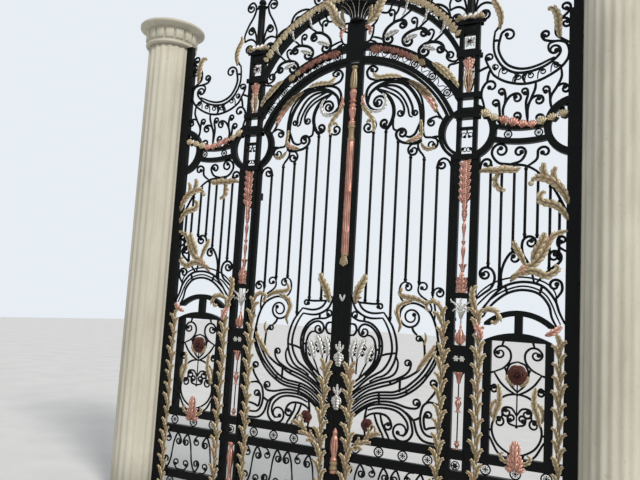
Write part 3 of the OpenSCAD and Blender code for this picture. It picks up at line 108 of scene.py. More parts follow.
SHELL = [
    (90, 1040, 160, 1110, 230, 1175, 299, 1229, 368, 1263, 437, 1279, 506, 1283, 583, 1279, 652, 1263,
     705, 1233, 748, 1190, 771, 1130, (668, 1060, -1.5)),
    (330, 1213, 414, 1243, 498, 1252, 575, 1248, 637, 1229, 690, 1190, 725, 1144, 737, 1091, 722, 1045,
     690, 1012),
    (90, 1145, 170, 1212, 245, 1280, 322, 1330, 400, 1358, 498, 1371, 575, 1380, 640, 1398, 713, 1436,
     805, 1513, 882, 1597, 943, 1697, 989, 1804, 1000, 1880, 989, 1960, 970, 2050, 900, 2190, 760, 2262,
     (722, 2130, 1.9)),
    (90, 1110, 170, 1180, 245, 1245, 322, 1296, 400, 1329, 498, 1342, 575, 1350, 637, 1366, 706, 1400,
     790, 1458, 860, 1526, 912, 1597, 960, 1672, 990, 1740, 1011, 1815, 1002, 1890),
    (90, 1078, 170, 1150, 245, 1213, 322, 1264, 400, 1297, 498, 1313, 575, 1312, 652, 1296, 706, 1283,
     767, 1279, 813, 1286, 842, 1315, (806, 1335, 1)),
    (90, 1172, 170, 1245, 245, 1312, 322, 1358, 400, 1386, 498, 1400, 575, 1409, 640, 1434, 700, 1466,
     767, 1524, 828, 1586, 882, 1662, 943, 1773, 974, 1842, 986, 1920),
    (90, 1205, 170, 1275, 245, 1342, 322, 1395, 400, 1428, 475, 1455, 544, 1478, 600, 1504, 637, 1530,
     706, 1560, 760, 1592, 820, 1640, 856, 1700, 872, 1760, 868, 1830, 859, 1899, 832, 1940,
     (806, 1930, 0.9)),
    (90, 1240, 160, 1304, 230, 1368, 299, 1416, 383, 1456, 460, 1485, 537, 1508, 590, 1528, 637, 1552,
     690, 1584, 728, 1630, 742, 1685, (708, 1692, 1)),
    (90, 1275, 150, 1330, 220, 1392, 290, 1440, 370, 1482, 452, 1518, 530, 1545, 580, 1580, 606, 1630,
     612, 1690, 590, 1750),
    # scroll behind the rose, and the two stems from the rail
    (300, 1135, 345, 1171, 399, 1190, 460, 1194, 514, 1183, 552, 1152, 571, 1110, (532, 1088, -0.9)),
    (312, 960, 300, 1040, 300, 1135, 322, 1264),
    (395, 1188, 420, 1115, 455, 1050, 490, 990, 500, 960),
    (456, 1193, 478, 1110, 515, 1040, 548, 985, 556, 960),
    # scrolls in the outer bottom corner
    (690, 1245, 721, 1229, 759, 1198, 790, 1167, 805, 1121, 820, 1075, 843, 1037, 878, 1006, 920, 991,
     1060, 988),
    (1060, 1335, 1000, 1345, 943, 1355, 905, 1344, 874, 1313, 859, 1267, 851, 1213, 855, 1160, 867, 1114,
     890, 1075, 925, 1052, 1060, 1045),
    (890, 1330, 920, 1367, 951, 1405, 978, 1444, 993, 1482, 997, 1520, (962, 1528, 0.9)),
    (1060, 1133, 997, 1133, 943, 1121, 905, 1108, 888, 1160, 886, 1213, 905, 1258, (930, 1235, -0.8)),
    (786, 1175, 820, 1188, 856, 1212),
    # ties between the bars
    (640, 1415, 640, 1560),
    (544, 1470, 542, 1520),
    (713, 1395, 705, 1450),
    (440, 1275, 430, 1400),
    (905, 1580, 880, 1605),
    (735, 2043, 752, 2000, 790, 1962),
    # outline of the shell's folded edge
    (90, 2330, 118, 2240, 150, 2175, 199, 2135, 253, 2108, 307, 2096, 360, 2096, 437, 2104),
    (437, 2104, 466, 2064, 500, 2000, 526, 1930, 542, 1860, 546, 1790, 530, 1720, 495, 1650, 452, 1598,
     399, 1564, 330, 1520, 268, 1468, 200, 1400, 90, 1295),
    (165, 2262, 184, 2236, 215, 2190, 261, 2160, 322, 2146, 383, 2148, 446, 2158),
    (446, 2158, 499, 2090, 536, 2036, 560, 1983, 578, 1930, 590, 1868, 594, 1800, 580, 1710, 552, 1643,
     514, 1586, 465, 1550, 400, 1526, 330, 1484),
    (135, 2300, 150, 2262, 180, 2246, 240, 2242, 330, 2237, 398, 2241, (405, 2215, -0.75)),
    (118, 2290, 170, 2256),
    (90, 1915, 140, 1920, 168, 1970, 150, 2020, 90, 2030),
    ((145, 2122, -0.8), 118, 2100, 146, 2083, 184, 2066, 253, 2060, 307, 2049, 353, 2022, 391, 1983,
     422, 1930, 441, 1868, 445, 1800, 436, 1738, 414, 1674, 380, 1614, 330, 1560, 260, 1494, 90, 1345),
    ((252, 1958, 1.1), 192, 1960, 205, 2006, 245, 2031, 291, 2026, 337, 2001, 376, 1960, 404, 1907,
     416, 1845, 416, 1776, 404, 1715, 380, 1655, 340, 1596, 280, 1536),
    (250, 1912, 291, 1926, 330, 1918, 360, 1884, 376, 1830, 382, 1776, 376, 1715, 355, 1650, 310, 1590,
     250, 1530, 90, 1390),
    (404, 1840, 445, 1830),
    (376, 1800, 418, 1790),
    (436, 1738, 490, 1760, 546, 1770, 594, 1780),
    (153, 2160, 150, 2182),
    (245, 2060, 245, 2108)
]
TYMPANUM = [
    # three arched C scrolls, each linked to the crown
    ((752, 4775, 1), 688, 4800, 717, 4837, 767, 4859, 823, 4865, 887, 4850, 929, 4815, 943, 4770,
     (905, 4778, -0.9)),
    ((575, 4908, 1), 512, 4930, 526, 4966, 569, 4999, 625, 5018, 682, 5026, 731, 5015, 766, 4980,
     (728, 4972, -0.9)),
    ((365, 4960, 1), 300, 4985, 310, 5035, 336, 5077, 378, 5112, 427, 5138, 484, 5146, 526, 5130, 542, 5098,
     (503, 5092, -0.9)),
    (830, 4860, 880, 4900, 945, 4960),
    (668, 5022, 710, 5060, 790, 5125),
    (456, 5140, 520, 5185, 610, 5250),
    # short scrolls that spring from them
    (396, 5118, 410, 5170, 412, 5222, (376, 5240, 0.8)),
    (412, 5200, 450, 5260, 460, 5330),
    (640, 5018, 656, 5066, 658, 5108, (622, 5118, 0.8)),
    (767, 4859, 812, 4900, 834, 4950, (800, 4968, 0.7)),
    (60, 5080, 130, 5105, 210, 5170, 250, 5260, 330, 5250, 370, 5300, 380, 5350),
    (60, 5200, 150, 5196, 225, 5190),
    (60, 4950, 150, 4975, 180, 5040, 190, 5140),
    (150, 4975, 210, 4950, 250, 4900, 262, 4870),
    (300, 4960, 255, 4985, 175, 5010),
    # scrolls against the pier
    (1110, 4620, 1055, 4610, 1005, 4600, 990, 4530),
    (1110, 4700, 1075, 4640, 1020, 4640, 975, 4680, 985, 4730, (1010, 4700, -0.9)),
    (985, 4730, 952, 4770)
]
CREST = [
    (60, 20, 80, 160, 170, 250, 270, 210, (215, 170, -1.2)),
    (120, -30, 260, 20, 400, 60, 520, 20, (455, -30, -1.1)),
    (300, -60, 330, 60, 420, 150, (430, 90, -1)),
    (480, -160, 640, -110, 760, -150, 800, -250, (725, -220, -1.1)),
    (700, -330, 860, -300, 960, -360, 990, -450, (920, -420, -1)),
    (40, 20, 30, 200, 60, 330, 0, 460),
    (0, 130, 60, 145, 100, 170),
    (270, 212, 330, 140, 345, 80),
    (420, 150, 500, 110, 540, 10)
]
SIDE_HIGH = [
    # double U with its volutes
    ((1565, 4825, -1.1), 1485, 4810, 1471, 4710, 1499, 4620, 1556, 4540, 1647, 4492, 1738, 4482, 1840, 4504,
     1930, 4542, 1975, 4560),
    (1437, 4890, 1426, 4790, 1431, 4688, 1465, 4597, 1522, 4518, 1624, 4455, 1749, 4448, 1874, 4480,
     1953, 4525, 2012, 4580, (1970, 4628, 1.1)),
    ((1392, 4630, -0.9), 1352, 4625, 1375, 4560, 1397, 4518, 1430, 4455, 1511, 4393, 1590, 4359, 1704, 4336,
     1817, 4347, 1930, 4393, 2032, 4461, 2089, 4540, 2096, 4620, 2066, 4688, 1987, 4712, 1925, 4690,
     (1985, 4635, 0.55)),
    (1990, 4712, 1930, 4720, 1880, 4740, 1857, 4785, (1895, 4788, -0.9)),
    (1470, 4790, 1420, 4790),
    (1975, 4830, 1985, 4775, 2040, 4725, 2110, 4680),
    (1990, 4770, 1980, 4860, 2021, 4924, 2066, 4920, 2106, 4885, (2070, 4872, -0.9)),
    (2012, 4916, 2075, 4965, 2102, 5005, (2062, 5030, 0.9)),
    (1437, 4880, 1480, 4940, 1500, 5010, 1480, 5090, 1440, 5150),
    (1290, 4500, 1330, 4520, 1385, 4540),
    (1624, 4455, 1640, 4420, 1625, 4360),
    (1749, 4448, 1700, 4410, 1720, 4345),
    (1953, 4530, 1990, 4490, 2040, 4470),
    # scrolls that stand on the sagging rails
    (1362, 4110, 1343, 4189, 1324, 4257, 1333, 4330, 1372, 4385, (1414, 4340, -0.8)),
    (1372, 4385, 1385, 4460, 1400, 4510),
    (1545, 3940, 1532, 4041, 1528, 4109, 1551, 4177, 1592, 4232, 1645, 4250, (1650, 4203, -0.9)),
    (1531, 4110, 1543, 4170, 1548, 4223, 1539, 4280, (1508, 4280, 0.8)),
    (1500, 3945, 1500, 4060, 1494, 4121, 1489, 4177, (1456, 4175, 0.8)),
    (1532, 4041, 1500, 4030),
    (1758, 3925, 1740, 4060, 1734, 4166, 1747, 4220, 1748, 4262, (1718, 4264, 0.8)),
    (1752, 4000, 1752, 4109, 1783, 4189, 1828, 4211, 1872, 4200, (1846, 4166, -0.9)),
    (1665, 3925, 1674, 3979, 1688, 4030, (1654, 4035, 0.8)),
    (1985, 3960, 1974, 4041, 1948, 4120, 1942, 4200, 1936, 4250, (1904, 4262, 0.8)),
    (1817, 4347, 1811, 4279, 1772, 4180),
    (2032, 4461, 2038, 4370, 1998, 4279, 1953, 4200, 1944, 4140),
    (1998, 4279, 2050, 4302, 2101, 4272, (2072, 4252, -0.8)),
    (2110, 3985, 2101, 4060, (2064, 4080, 0.72)),
    (1888, 3925, 1893, 3985, (1852, 3998, 0.8))
]
SIDE_MID = [
    (1900, 3440, 1854, 3495, 1747, 3559, 1600, 3580, 1500, 3600, 1440, 3680, (1520, 3712, -1.3)),
    (1600, 3580, 1700, 3610, 1742, 3690, (1685, 3690, 1)),
    (1760, 3555, 1840, 3620, 1850, 3700, (1905, 3680, -0.9)),
    (1332, 3540, 1348, 3610, (1400, 3595, -0.9)),
    ((1410, 2560, 1.4), 1470, 2600, 1495, 2530, 1465, 2440, 1400, 2385, 1332, 2330),
    (1400, 2250, 1480, 2360, 1587, 2459, 1747, 2502, 1907, 2470, 2014, 2352, 2050, 2250, 2098, 2150),
    (1405, 2180, 1430, 2230, 1520, 2330, 1620, 2400, 1747, 2430, 1880, 2400, 1965, 2300, 1990, 2200,
     2030, 2120),
    (1587, 2465, 1610, 2390),
    (1907, 2475, 1885, 2395),
    (1405, 2180, 1332, 2150),
    (1884, 3460, 1960, 3385, 2040, 3250, 2110, 3110),
    (1560, 2440, 1550, 2560, 1580, 2680, 1640, 2765, (1662, 2712, -1)),
    (1840, 2490, 1800, 2640, 1735, 2760, 1730, 2860, (1800, 2855, -1.3)),
    (1850, 2490, 1950, 2600, 2050, 2690, (2000, 2735, 1.3)),
    (2098, 2780, 2030, 2830, 2030, 2890, (2065, 2880, -0.8)),
    (2014, 2352, 2070, 2440, 2060, 2510, (2010, 2480, 1))
]
SIDE_BARS = [(1432, 2630, 3610), (1534, 2420, 3590), (1646, 2770, 3580), (1747, 2900, 3560),
             (1854, 2895, 3490), (1960, 2600, 3390), (2040, 2700, 3255)]
DOOR_HALF = [
    ((1560, 1860, 1), 1510, 1870, 1545, 1915, 1600, 1922, 1648, 1880, 1652, 1810, 1600, 1738, 1512, 1692),
    (1512, 1692, 1545, 1640, 1575, 1600, 1640, 1545, 1715, 1505),
    (1715, 1795, 1650, 1768, 1622, 1690, 1650, 1600, 1715, 1530),
    (1530, 1430, 1580, 1470, 1640, 1502, 1715, 1515),
    (1715, 1330, 1670, 1390, 1610, 1390, (1630, 1350, 1)),
    (1715, 1240, 1650, 1260, 1640, 1310, (1670, 1305, -0.8)),
    (1575, 1925, 1600, 1985, 1640, 2010),
    (1622, 1700, 1606, 1735),
    (1552, 1446, 1500, 1400, 1475, 1375),
    (1512, 1692, 1475, 1680),
    (1590, 1300, 1600, 1390),
    (1512, 1180, 1475, 1190),
    (1650, 1005, 1660, 965),
    ((1568, 1262, -0.9), 1590, 1300, 1540, 1295, 1508, 1235, 1512, 1150, 1560, 1065, 1640, 1010, 1715, 985),
    (1485, 1560, 1520, 1580, 1540, 1550, (1515, 1540, -0.8)),
    (1485, 1130, 1560, 1000, 1600, 972)
]
CAP_SIDE = [
    (86, 6, 140, 6, 172, 28, 178, 62, 160, 88, 130, 94, (128, 60, 0.9)),
    (40, 76, 56, 122, 88, 156, 132, 172, 172, 166, 209, 147),
    (205, 150, 214, 215, 172, 330, 97, 465, 82, 555, 127, 615, 184, 585, (142, 546, -1)),
    (40, 112, 70, 240, 114, 312, 158, 278, (122, 262, -0.8)),
    (36, 534, 60, 534, 86, 534)
]
# three nested arcs over the small panel, and small curls between the two big arcs above
SIDE_ARCS = [
    (1319, 2318, 1354, 2380, 1418, 2440, 1500, 2492, 1620, 2532, 1744, 2544, 1866, 2526, 1956, 2486,
     2012, 2420, 2030, 2340),
    (1370, 2222, 1440, 2310, 1540, 2392, 1640, 2440, 1747, 2464, 1862, 2442, 1940, 2390, 1990, 2310,
     2022, 2230, 2062, 2142),
    (1332, 2262, 1390, 2326, 1470, 2402, 1548, 2444)
]
SIDE_CURLS = [
    (1478, 4430, 1484, 4480, 1506, 4512, 1538, 4506, (1530, 4478, -0.9)),
    (1606, 4366, 1616, 4404, 1640, 4428, 1664, 4424, (1660, 4402, -0.9)),
    (1716, 4346, 1722, 4406, 1744, 4440, 1776, 4436, (1768, 4410, -0.9)),
    (1830, 4372, 1836, 4430, 1858, 4462, 1884, 4458, (1876, 4436, -0.9)),
    (1944, 4424, 1950, 4480, 1972, 4514, 1996, 4508, (1990, 4484, -0.9)),
    (1446, 4560, 1420, 4540, 1440, 4500, 1462, 4510, (1452, 4530, 0.8))
]


# Meshes
class Build:
    """Vertices, faces and a tone for each vertex, from 0 in a hollow to 1 on an edge."""

    def __init__(self):
        self.v, self.t, self.f, self.n = [], [], [], 0

    def add(self, v, f, tone=0.5):
        self.v.append(np.asarray(v, float))
        self.t.append(np.full(len(v), tone) if np.isscalar(tone) else tone)
        self.f += [tuple(i + self.n for i in q) for q in f]
        self.n += len(v)

    def mirrored(self, both=False):
        """The same piece turned left to right, or both halves together."""
        out, v, t = Build(), np.concatenate(self.v), np.concatenate(self.t)
        if both:
            out.add(v, self.f, t)
        out.add(v * [-1, 1, 1], [q[::-1] for q in self.f], t)
        return out


def put(name, data):
    obj = bpy.data.objects.new(name, data)
    bpy.context.scene.collection.objects.link(obj)
    return obj


def make(name, b, finish, body="gate_frame", replaces=(), flat=False):
    material, slot = finish
    co = np.concatenate(b.v) / 1000.0
    co[:, 0] += COLUMN_X / 1000.0
    mesh = bpy.data.meshes.new(name)
    mesh.from_pydata(co.tolist(), [], b.f)
    tone = mesh.attributes.new("tone", "FLOAT", "POINT")
    tone.data.foreach_set("value", np.concatenate(b.t).astype(np.float32))
    mesh.polygons.foreach_set("use_smooth", [not flat] * len(mesh.polygons))
    mesh.materials.append(material)
    mesh.update()
    obj = put(name, mesh)
    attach(obj, body)
    if replaces:
        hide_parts(*replaces)


def pair(stem, b, finish, *nodes, leaf=False):
    """The same piece on the right and, mirrored, on the left."""
    for side, half in (("right", b), ("left", b.mirrored())):
        body = f"{side}_leaf" if leaf else "gate_frame"
        make(f"{side}_{stem}", half, finish, body, [f"{side}_{n}" for n in nodes])


def points(xz, x0=0.0, z0=0.0, m=1):
    """Points from x and z in turn, mirrored where m is -1, then moved by x0 and z0."""
    return np.array([(x0 + m * x, z0 + z) for x, z in zip(xz[::2], xz[1::2])], float)


def polar(c, a, r):
    """The point at radius r from c, a degrees clockwise from straight up."""
    return [c[0] + r * math.sin(math.radians(a)), c[1] + r * math.cos(math.radians(a))]


def arc(c, r, a0, a1, n):
    a = np.radians(np.linspace(a0, a1, n + 1))
    return np.stack([c[0] + r * np.sin(a), c[1] + r * np.cos(a)], 1)


def ray(x, z, a, r):
    return [x + r * math.cos(a), z + r * math.sin(a)]


def spun(v, a, x0=0.0):
    """Points turned by a about an upright axis at x0."""
    (x, y, z), c, s = np.asarray(v, float).T, math.cos(a), math.sin(a)
    return np.stack([x0 + x * c - y * s, x * s + y * c, z], 1)


def grid_faces(nu, nv, closed_v=False, closed_u=False):
    f = []
    for i in range(nu if closed_u else nu - 1):
        for j in range(nv if closed_v else nv - 1):
            a, c, k = i * nv, (i + 1) % nu * nv, (j + 1) % nv
            f.append((a + j, a + k, c + k, c + j))
    return f


def smooth_path(p, step=11.0):
    """A curve through its control points, as in the CAD part, with points about step apart."""
    p = np.asarray(p, float)
    n = len(p)
    out = []
    for i in range(n - 1):
        b, c = p[i], p[i + 1]
        a = p[i - 1] if i else 2 * p[0] - p[1]
        d = p[i + 2] if i < n - 2 else 2 * p[n - 1] - p[n - 2]
        s1, s2, s3 = (math.sqrt(max(1e-6, np.linalg.norm(w))) for w in (b - a, c - b, d - c))
        m1 = c - b + s2 * ((b - a) / s1 - (c - a) / (s1 + s2))
        m2 = c - b + s2 * ((d - c) / s3 - (d - b) / (s2 + s3))
        k = max(1, int(round(np.linalg.norm(c - b) / step)))
        t = (np.arange(k) / k)[:, None]
        out.append((2 * (b - c) + m1 + m2) * t**3 + (3 * (c - b) - 2 * m1 - m2) * t**2 + m1 * t + b)
    return np.concatenate(out + [p[-1:]])


def curve(p, step):
    """A smooth path, its length, and a function that gives the point at a distance along it."""
    path = smooth_path(p, step)
    far = np.concatenate([[0], np.cumsum(np.linalg.norm(np.diff(path, axis=0), axis=1))])
    return path, far[-1], lambda s: np.stack([np.interp(s, far, path[:, k]) for k in (0, 1)], -1)


RIM = 8
rim_angle = (np.arange(RIM) + 0.5) * 2 * math.pi / RIM
RIM_ACROSS, RIM_DEEP = (np.sign(q) * np.abs(q) ** 0.7 for q in (np.cos(rim_angle), np.sin(rim_angle)))


def section(path, tan, w, t, y):
    """A bar's rounded flat section at each point of its path."""
    tan = tan / np.maximum(1e-9, np.linalg.norm(tan, axis=1))[:, None]
    w = np.reshape(w, (-1, 1))
    v = np.empty((len(path), RIM, 3))
    v[:, :, 0] = path[:, None, 0] - tan[:, None, 1] * RIM_ACROSS * w / 2
    v[:, :, 2] = path[:, None, 1] + tan[:, None, 0] * RIM_ACROSS * w / 2
    v[:, :, 1] = y + RIM_DEEP * t / 2
    return v.reshape(-1, 3)


def sweep(b, path, w, t, y=0.0, tone=0.5):
    """A bar of rounded flat section along a path; w may be its width at each point."""
    path = np.asarray(path, float)
    n = len(path)
    tan = np.empty_like(path)
    tan[1:-1] = path[2:] - path[:-2]
    tan[0], tan[-1] = path[1] - path[0], path[-1] - path[-2]
    f = [q[::-1] for q in grid_faces(n, RIM, True)]
    ends = [tuple(range(RIM)), tuple((n - 1) * RIM + i for i in range(RIM))[::-1]]
    b.add(section(path, tan, w, t, y), f + ends, tone)


def torus(b, c, r, w, t, y=0.0):
    n = 28
    a = np.linspace(0, 2 * math.pi, n + 1)[:-1]
    ring = np.stack([c[0] + r * np.cos(a), c[1] + r * np.sin(a)], 1)
    tan = np.roll(ring, -1, 0) - np.roll(ring, 1, 0)
    b.add(section(ring, tan, w, t, y), [(q[0], q[3], q[2], q[1]) for q in grid_faces(n, RIM, True, True)])


def boss(b, c, r, t, y=0.0, tone=0.6):
    """A flattened ball, as on a whorl's end."""
    n, v = 12, []
    for out, h in ((0.55, -0.86), (0.92, -0.45), (1.0, 0.0), (0.92, 0.45), (0.55, 0.86)):
        for i in range(n):
            x, z = ray(*c, 2 * math.pi * i / n, r * out)
            v.append((x, y + h * t / 2, z))
    k = len(v)
    v += [(c[0], y - t / 2, c[1]), (c[0], y + t / 2, c[1])]
    f = grid_faces(5, n, True) + [(k, (i + 1) % n, i) for i in range(n)]
    b.add(v, f + [(k + 1, 4 * n + i, 4 * n + (i + 1) % n) for i in range(n)], tone)


def whorl(c, p, turns):
    d = p - c
    r = np.linalg.norm(d)
    k = min(0.8, max(0.28, SCROLL_W / r))
    n = max(3, int(math.ceil(abs(turns) * 9)))
    i = np.arange(n + 1) / n
    a = math.atan2(d[1], d[0]) + turns * 2 * math.pi * i
    return c + (r * k**i)[:, None] * np.stack([np.cos(a), np.sin(a)], 1)


bars_made = itertools.count(1)


def bar(b, row, w=SCROLL_W, t=SCROLL_T, x0=0.0, z0=0.0, m=1):
    """One forged scroll with its whorls, drawn down toward the ends and finished with balls."""
    p = points([v for v in row if not isinstance(v, tuple)], x0, z0, m)
    ends = {}
    for k in (0, -1):
        ends[k] = p[k][None]
        if isinstance(row[k], tuple):
            x, z, turns = row[k]
            ends[k] = whorl(np.array([x0 + m * x, z0 + z]), p[k], m * turns)
    path = smooth_path(np.concatenate([ends[0][::-1], p[1:-1], ends[-1]]))
    width = w * (1 - 0.3 * np.abs(np.linspace(-1, 1, len(path))) ** 3)
    thick = t + 0.45 * (next(bars_made) * 7 % 5 - 2)
    sweep(b, path, width, thick)
    for k in (0, -1):
        if isinstance(row[k], tuple):
            boss(b, path[k], 12 + w * 0.42, thick + 9)


def upright(b, x, z0, z1):
    """A straight bar with a collar near each end."""
    w = BAR_W
    sweep(b, [[x, z0], [x, (z0 + z1) / 2], [x, z1]], w, w * 0.9)
    for z in (z0 + 30, z1 - 30):
        sweep(b, [[x, z - 9], [x, z - 6], [x, z + 6], [x, z + 9]], [w + 3, w + 9, w + 9, w + 3], w + 6)


def add_sheet(b, v, nu, nv, tone, thick, face, under=0.5):
    """A sheet of nu by nv points, with its back and the rim between them; face is 1 to the grounds."""
    n = nu * nv
    f = grid_faces(nu, nv)
    rim = [i * nv for i in range(nu)] + [(nu - 1) * nv + j for j in range(1, nv)]
    rim += [i * nv + nv - 1 for i in range(nu - 2, -1, -1)] + list(range(nv - 2, 0, -1))
    edge = [(a, c, c + n, a + n) for a, c in zip(rim, rim[1:] + rim[:1])]
    f = f + [tuple(i + n for i in q[::-1]) for q in f] + edge
    if face < 0:
        f = [q[::-1] for q in f]
    v, tone = v.reshape(-1, 3), tone.ravel()
    b.add(np.concatenate([v, v - [0, face * thick, 0]]), f, np.concatenate([tone, tone * under]))


def grid(nu, nv):
    return np.meshgrid(np.linspace(0, 1, nu), np.linspace(-1, 1, nv), indexing="ij")


def petal(b, root, angle, length, y):
    """A small cast petal with a scalloped edge."""
    nu, nv, width, lift = 11, 5, 0.8, 0.25
    U, V = grid(nu, nv)
    u = U[:, 0]
    tooth = np.array([0.58, 0.82, 1.0])[np.arange(nu) % 3]
    body = np.sin(np.pi * np.clip(u * 0.93 + 0.07, 0, 1) ** 0.85) ** 0.75
    half = width / 2 * body * tooth
    half[0], half[-1] = width * 0.09, width * 0.015
    out = lift * np.sin(2.05 * U) - 0.22 * width * np.abs(V) ** 1.6 * body[:, None] + 0.1
    tone = np.clip(0.25 + 0.55 * np.abs(V) ** 1.5 + 0.3 * U - 0.25 * (1 - tooth)[:, None], 0, 1)
    x, s, ca, sa = U * length, half[:, None] * V * length, math.cos(angle), math.sin(angle)
    v = np.stack([root[0] + ca * x - sa * s, y - out * length * 0.5, root[1] + sa * x + ca * s], -1)
    add_sheet(b, v, nu, nv, tone, 0.035 * length * 0.5, -1)


def acanthus(b, p, w, y, lobes=0, side=0, lift=0.20, curl=0.0, face=-1, shade=0.0):
    """A long acanthus leaf on a curve: lobes whose points lean forward, a hollow midrib and a rib to
    each lobe. Side 1 or -1 spreads that half only."""
    path, total, point = curve(p, 8.0)
    lobes = max(4, int(round((lobes or total / (w * 0.46)) * 0.78)))
    n = 4 * lobes + 1
    c = point(np.linspace(0, total, n))
    tan = np.gradient(c, axis=0)
    tan /= np.maximum(1e-6, np.linalg.norm(tan, axis=1))[:, None]
    i = np.arange(n) % 4
    U, V = grid(n, 7)
    u, out_from_rib = np.arange(n) / (n - 1), np.abs(V)
    cut = np.array([0.40, 0.72, 1.0, 0.82])[i]
    env = np.interp(u, [0, 0.12, 0.4, 0.75, 0.93, 1], [0.42, 0.72, 1.0, 0.84, 0.55, 0.10])
    ahead = np.array([0.0, 0.06, 0.40, 0.74])[i] * total / lobes * np.interp(u, [0, 0.85, 1], [1, 1, 0.1])
    across = (w / 2 * env * cut)[:, None] * V
    if side:
        across = np.where(V * side > 0, across * 1.25, (w / 2 * env)[:, None] * V * 0.45)
    shift = ahead[:, None] * out_from_rib**2
    rib, hollow = np.cos((i - 2) * math.pi / 2)[:, None], np.exp(-((V / 0.2) ** 2))
    out = w * (0.06 + lift * np.sin(np.pi * U) * 0.5 + 0.22 * (1 - out_from_rib**1.7) * env[:, None]
               - 0.11 * hollow + 0.055 * rib * out_from_rib + curl * U**3)
    v = np.stack([c[:, 0, None] + tan[:, 0, None] * shift - tan[:, 1, None] * across, y + face * out,
                  c[:, 1, None] + tan[:, 1, None] * shift + tan[:, 0, None] * across], -1)
    tone = np.clip(0.42 + 0.16 * rib + 0.40 * out_from_rib**1.5 - 0.35 * hollow + 0.12 * U + shade, 0, 1)
    add_sheet(b, v, n, 7, tone, max(1.6, 0.03 * w), face)


def leaves(b, y, rows, x0=0.0, z0=0.0, sides=(1,), face=-1, side=0):
    """Acanthus leaves: width, place behind y, lobes, lift, curl, shade, then points."""
    for w, dy, lobes, lift, curl, shade, *xz in rows:
        for m in sides:
            acanthus(b, points(xz, x0, z0, m), w, y + dy, lobes, side, lift, curl, face, shade)


def scallop(b, c, angle, w, h, y, face=-1, tone=0.0):
    """A small shell with five ribs that stands on c and opens along angle."""
    nu, nv, spread = 6, 21, 1.25
    U, V = grid(nu, nv)
    wave = np.cos(V * 5 * math.pi)
    r = U * (1 + 0.06 * wave * U)
    th = V * spread
    along = h * (0.04 + 0.96 * r * np.cos(th) ** 0.7)
    across = w / 2 * r * np.sin(th) / math.sin(spread)
    out = 0.30 * h * np.sin(np.pi * np.clip(U * 0.82 + 0.12, 0, 1)) ** 0.8 * (0.86 + 0.14 * wave)
    ca, sa = math.cos(angle), math.sin(angle)
    v = np.stack([c[0] + ca * along - sa * across, y + face * out, c[1] + sa * along + ca * across], -1)
    add_sheet(b, v, nu, nv, np.clip(0.25 + 0.35 * U + 0.22 * wave + tone, 0, 1), 3.0, face)


def shell_row(b, p, n, w, h, y, face=-1, jitter=0.0, tone=0.0, skip=()):
    """Shells side by side along a curve, open to its left."""
    path, total, point = curve(p, 10.0)
    for i in range(n):
        if i not in skip:
            s = (i + 0.5) * total / n
            d = point(s + 6) - point(s - 6)
            k = 1 + jitter * rng.uniform(-1, 1)
            angle = math.atan2(d[1], d[0]) + math.pi / 2 + jitter * rng.uniform(-1, 1)
            scallop(b, point(s), angle, w * k, h * k, y, face, tone)


def crozier(b, root, angle, size, y, m=1):
    """A leaf that rolls over at its tip; m turns it to the left or the right."""
    t = np.linspace(0, 1, 11)
    a = angle + m * (0.1 + 3.9 * t**1.5)
    d = np.stack([np.cos(a), np.sin(a)], 1) * (size * 0.2 * (1 - 0.55 * t))[:, None]
    p = np.concatenate([[root], root + np.cumsum(d, axis=0)])
    acanthus(b, p, size * 0.36, y, 7, -m, 0.3, 0.15)
    boss(b, p[-1], size * 0.085, size * 0.16, y - size * 0.12, 0.8)


def garland(b, xz, w, y, tip=1, top=0.0):
    """A stem wrapped by long leaves, in turn left and right, whose points stand off it, and a
    crozier of top times the width at its end."""
    path, total, point = curve(points(xz), 12.0)
    sweep(b, path, w * 0.36, w * 0.22, y - w * 0.08, 0.3)
    end = (path[-1] - path[-3]) / max(1e-6, np.linalg.norm(path[-1] - path[-3]))
    n = max(2, int(round(total / (w * 0.74))))
    for i in range(n):
        m = 1 if i % 2 else -1
        k = w * (1 + 0.16 * rng.uniform(-1, 1))
        s0 = (i + 0.05) * total / n + 0.10 * w * rng.uniform(-1, 1)
        spread = 1 + 0.22 * rng.uniform(-1, 1)
        pts = []
        for a, r in ((0, 0.02), (0.42, 0.11), (0.86, 0.20), (1.20, 0.36), (1.40, 0.66)):
            s = s0 + a * k
            d = point(s + 8) - point(s - 8)
            d = d / np.linalg.norm(d) if np.linalg.norm(d) > 6 else end
            off = m * r * k * spread * np.array([-d[1], d[0]])
            pts.append(point(s) + end * max(0.0, s - total) * 0.6 + off)
        acanthus(b, pts, k * 0.54, y - w * 0.05 * (i % 3), 5, 0, 0.25, 0.42)
    if top:
        crozier(b, path[-1] - end * w * 0.3, math.atan2(end[1], end[0]), w * top, y - 4, tip)


def rosette(b, c, r, y):
    """A small cast flower: six petals round a boss."""
    for i in range(6):
        a = 2 * math.pi * i / 6
        petal(b, ray(*c, a, 0.12 * r), a, r * 0.95, y)
    boss(b, c, r * 0.3, r * 0.4, y - r * 0.16)


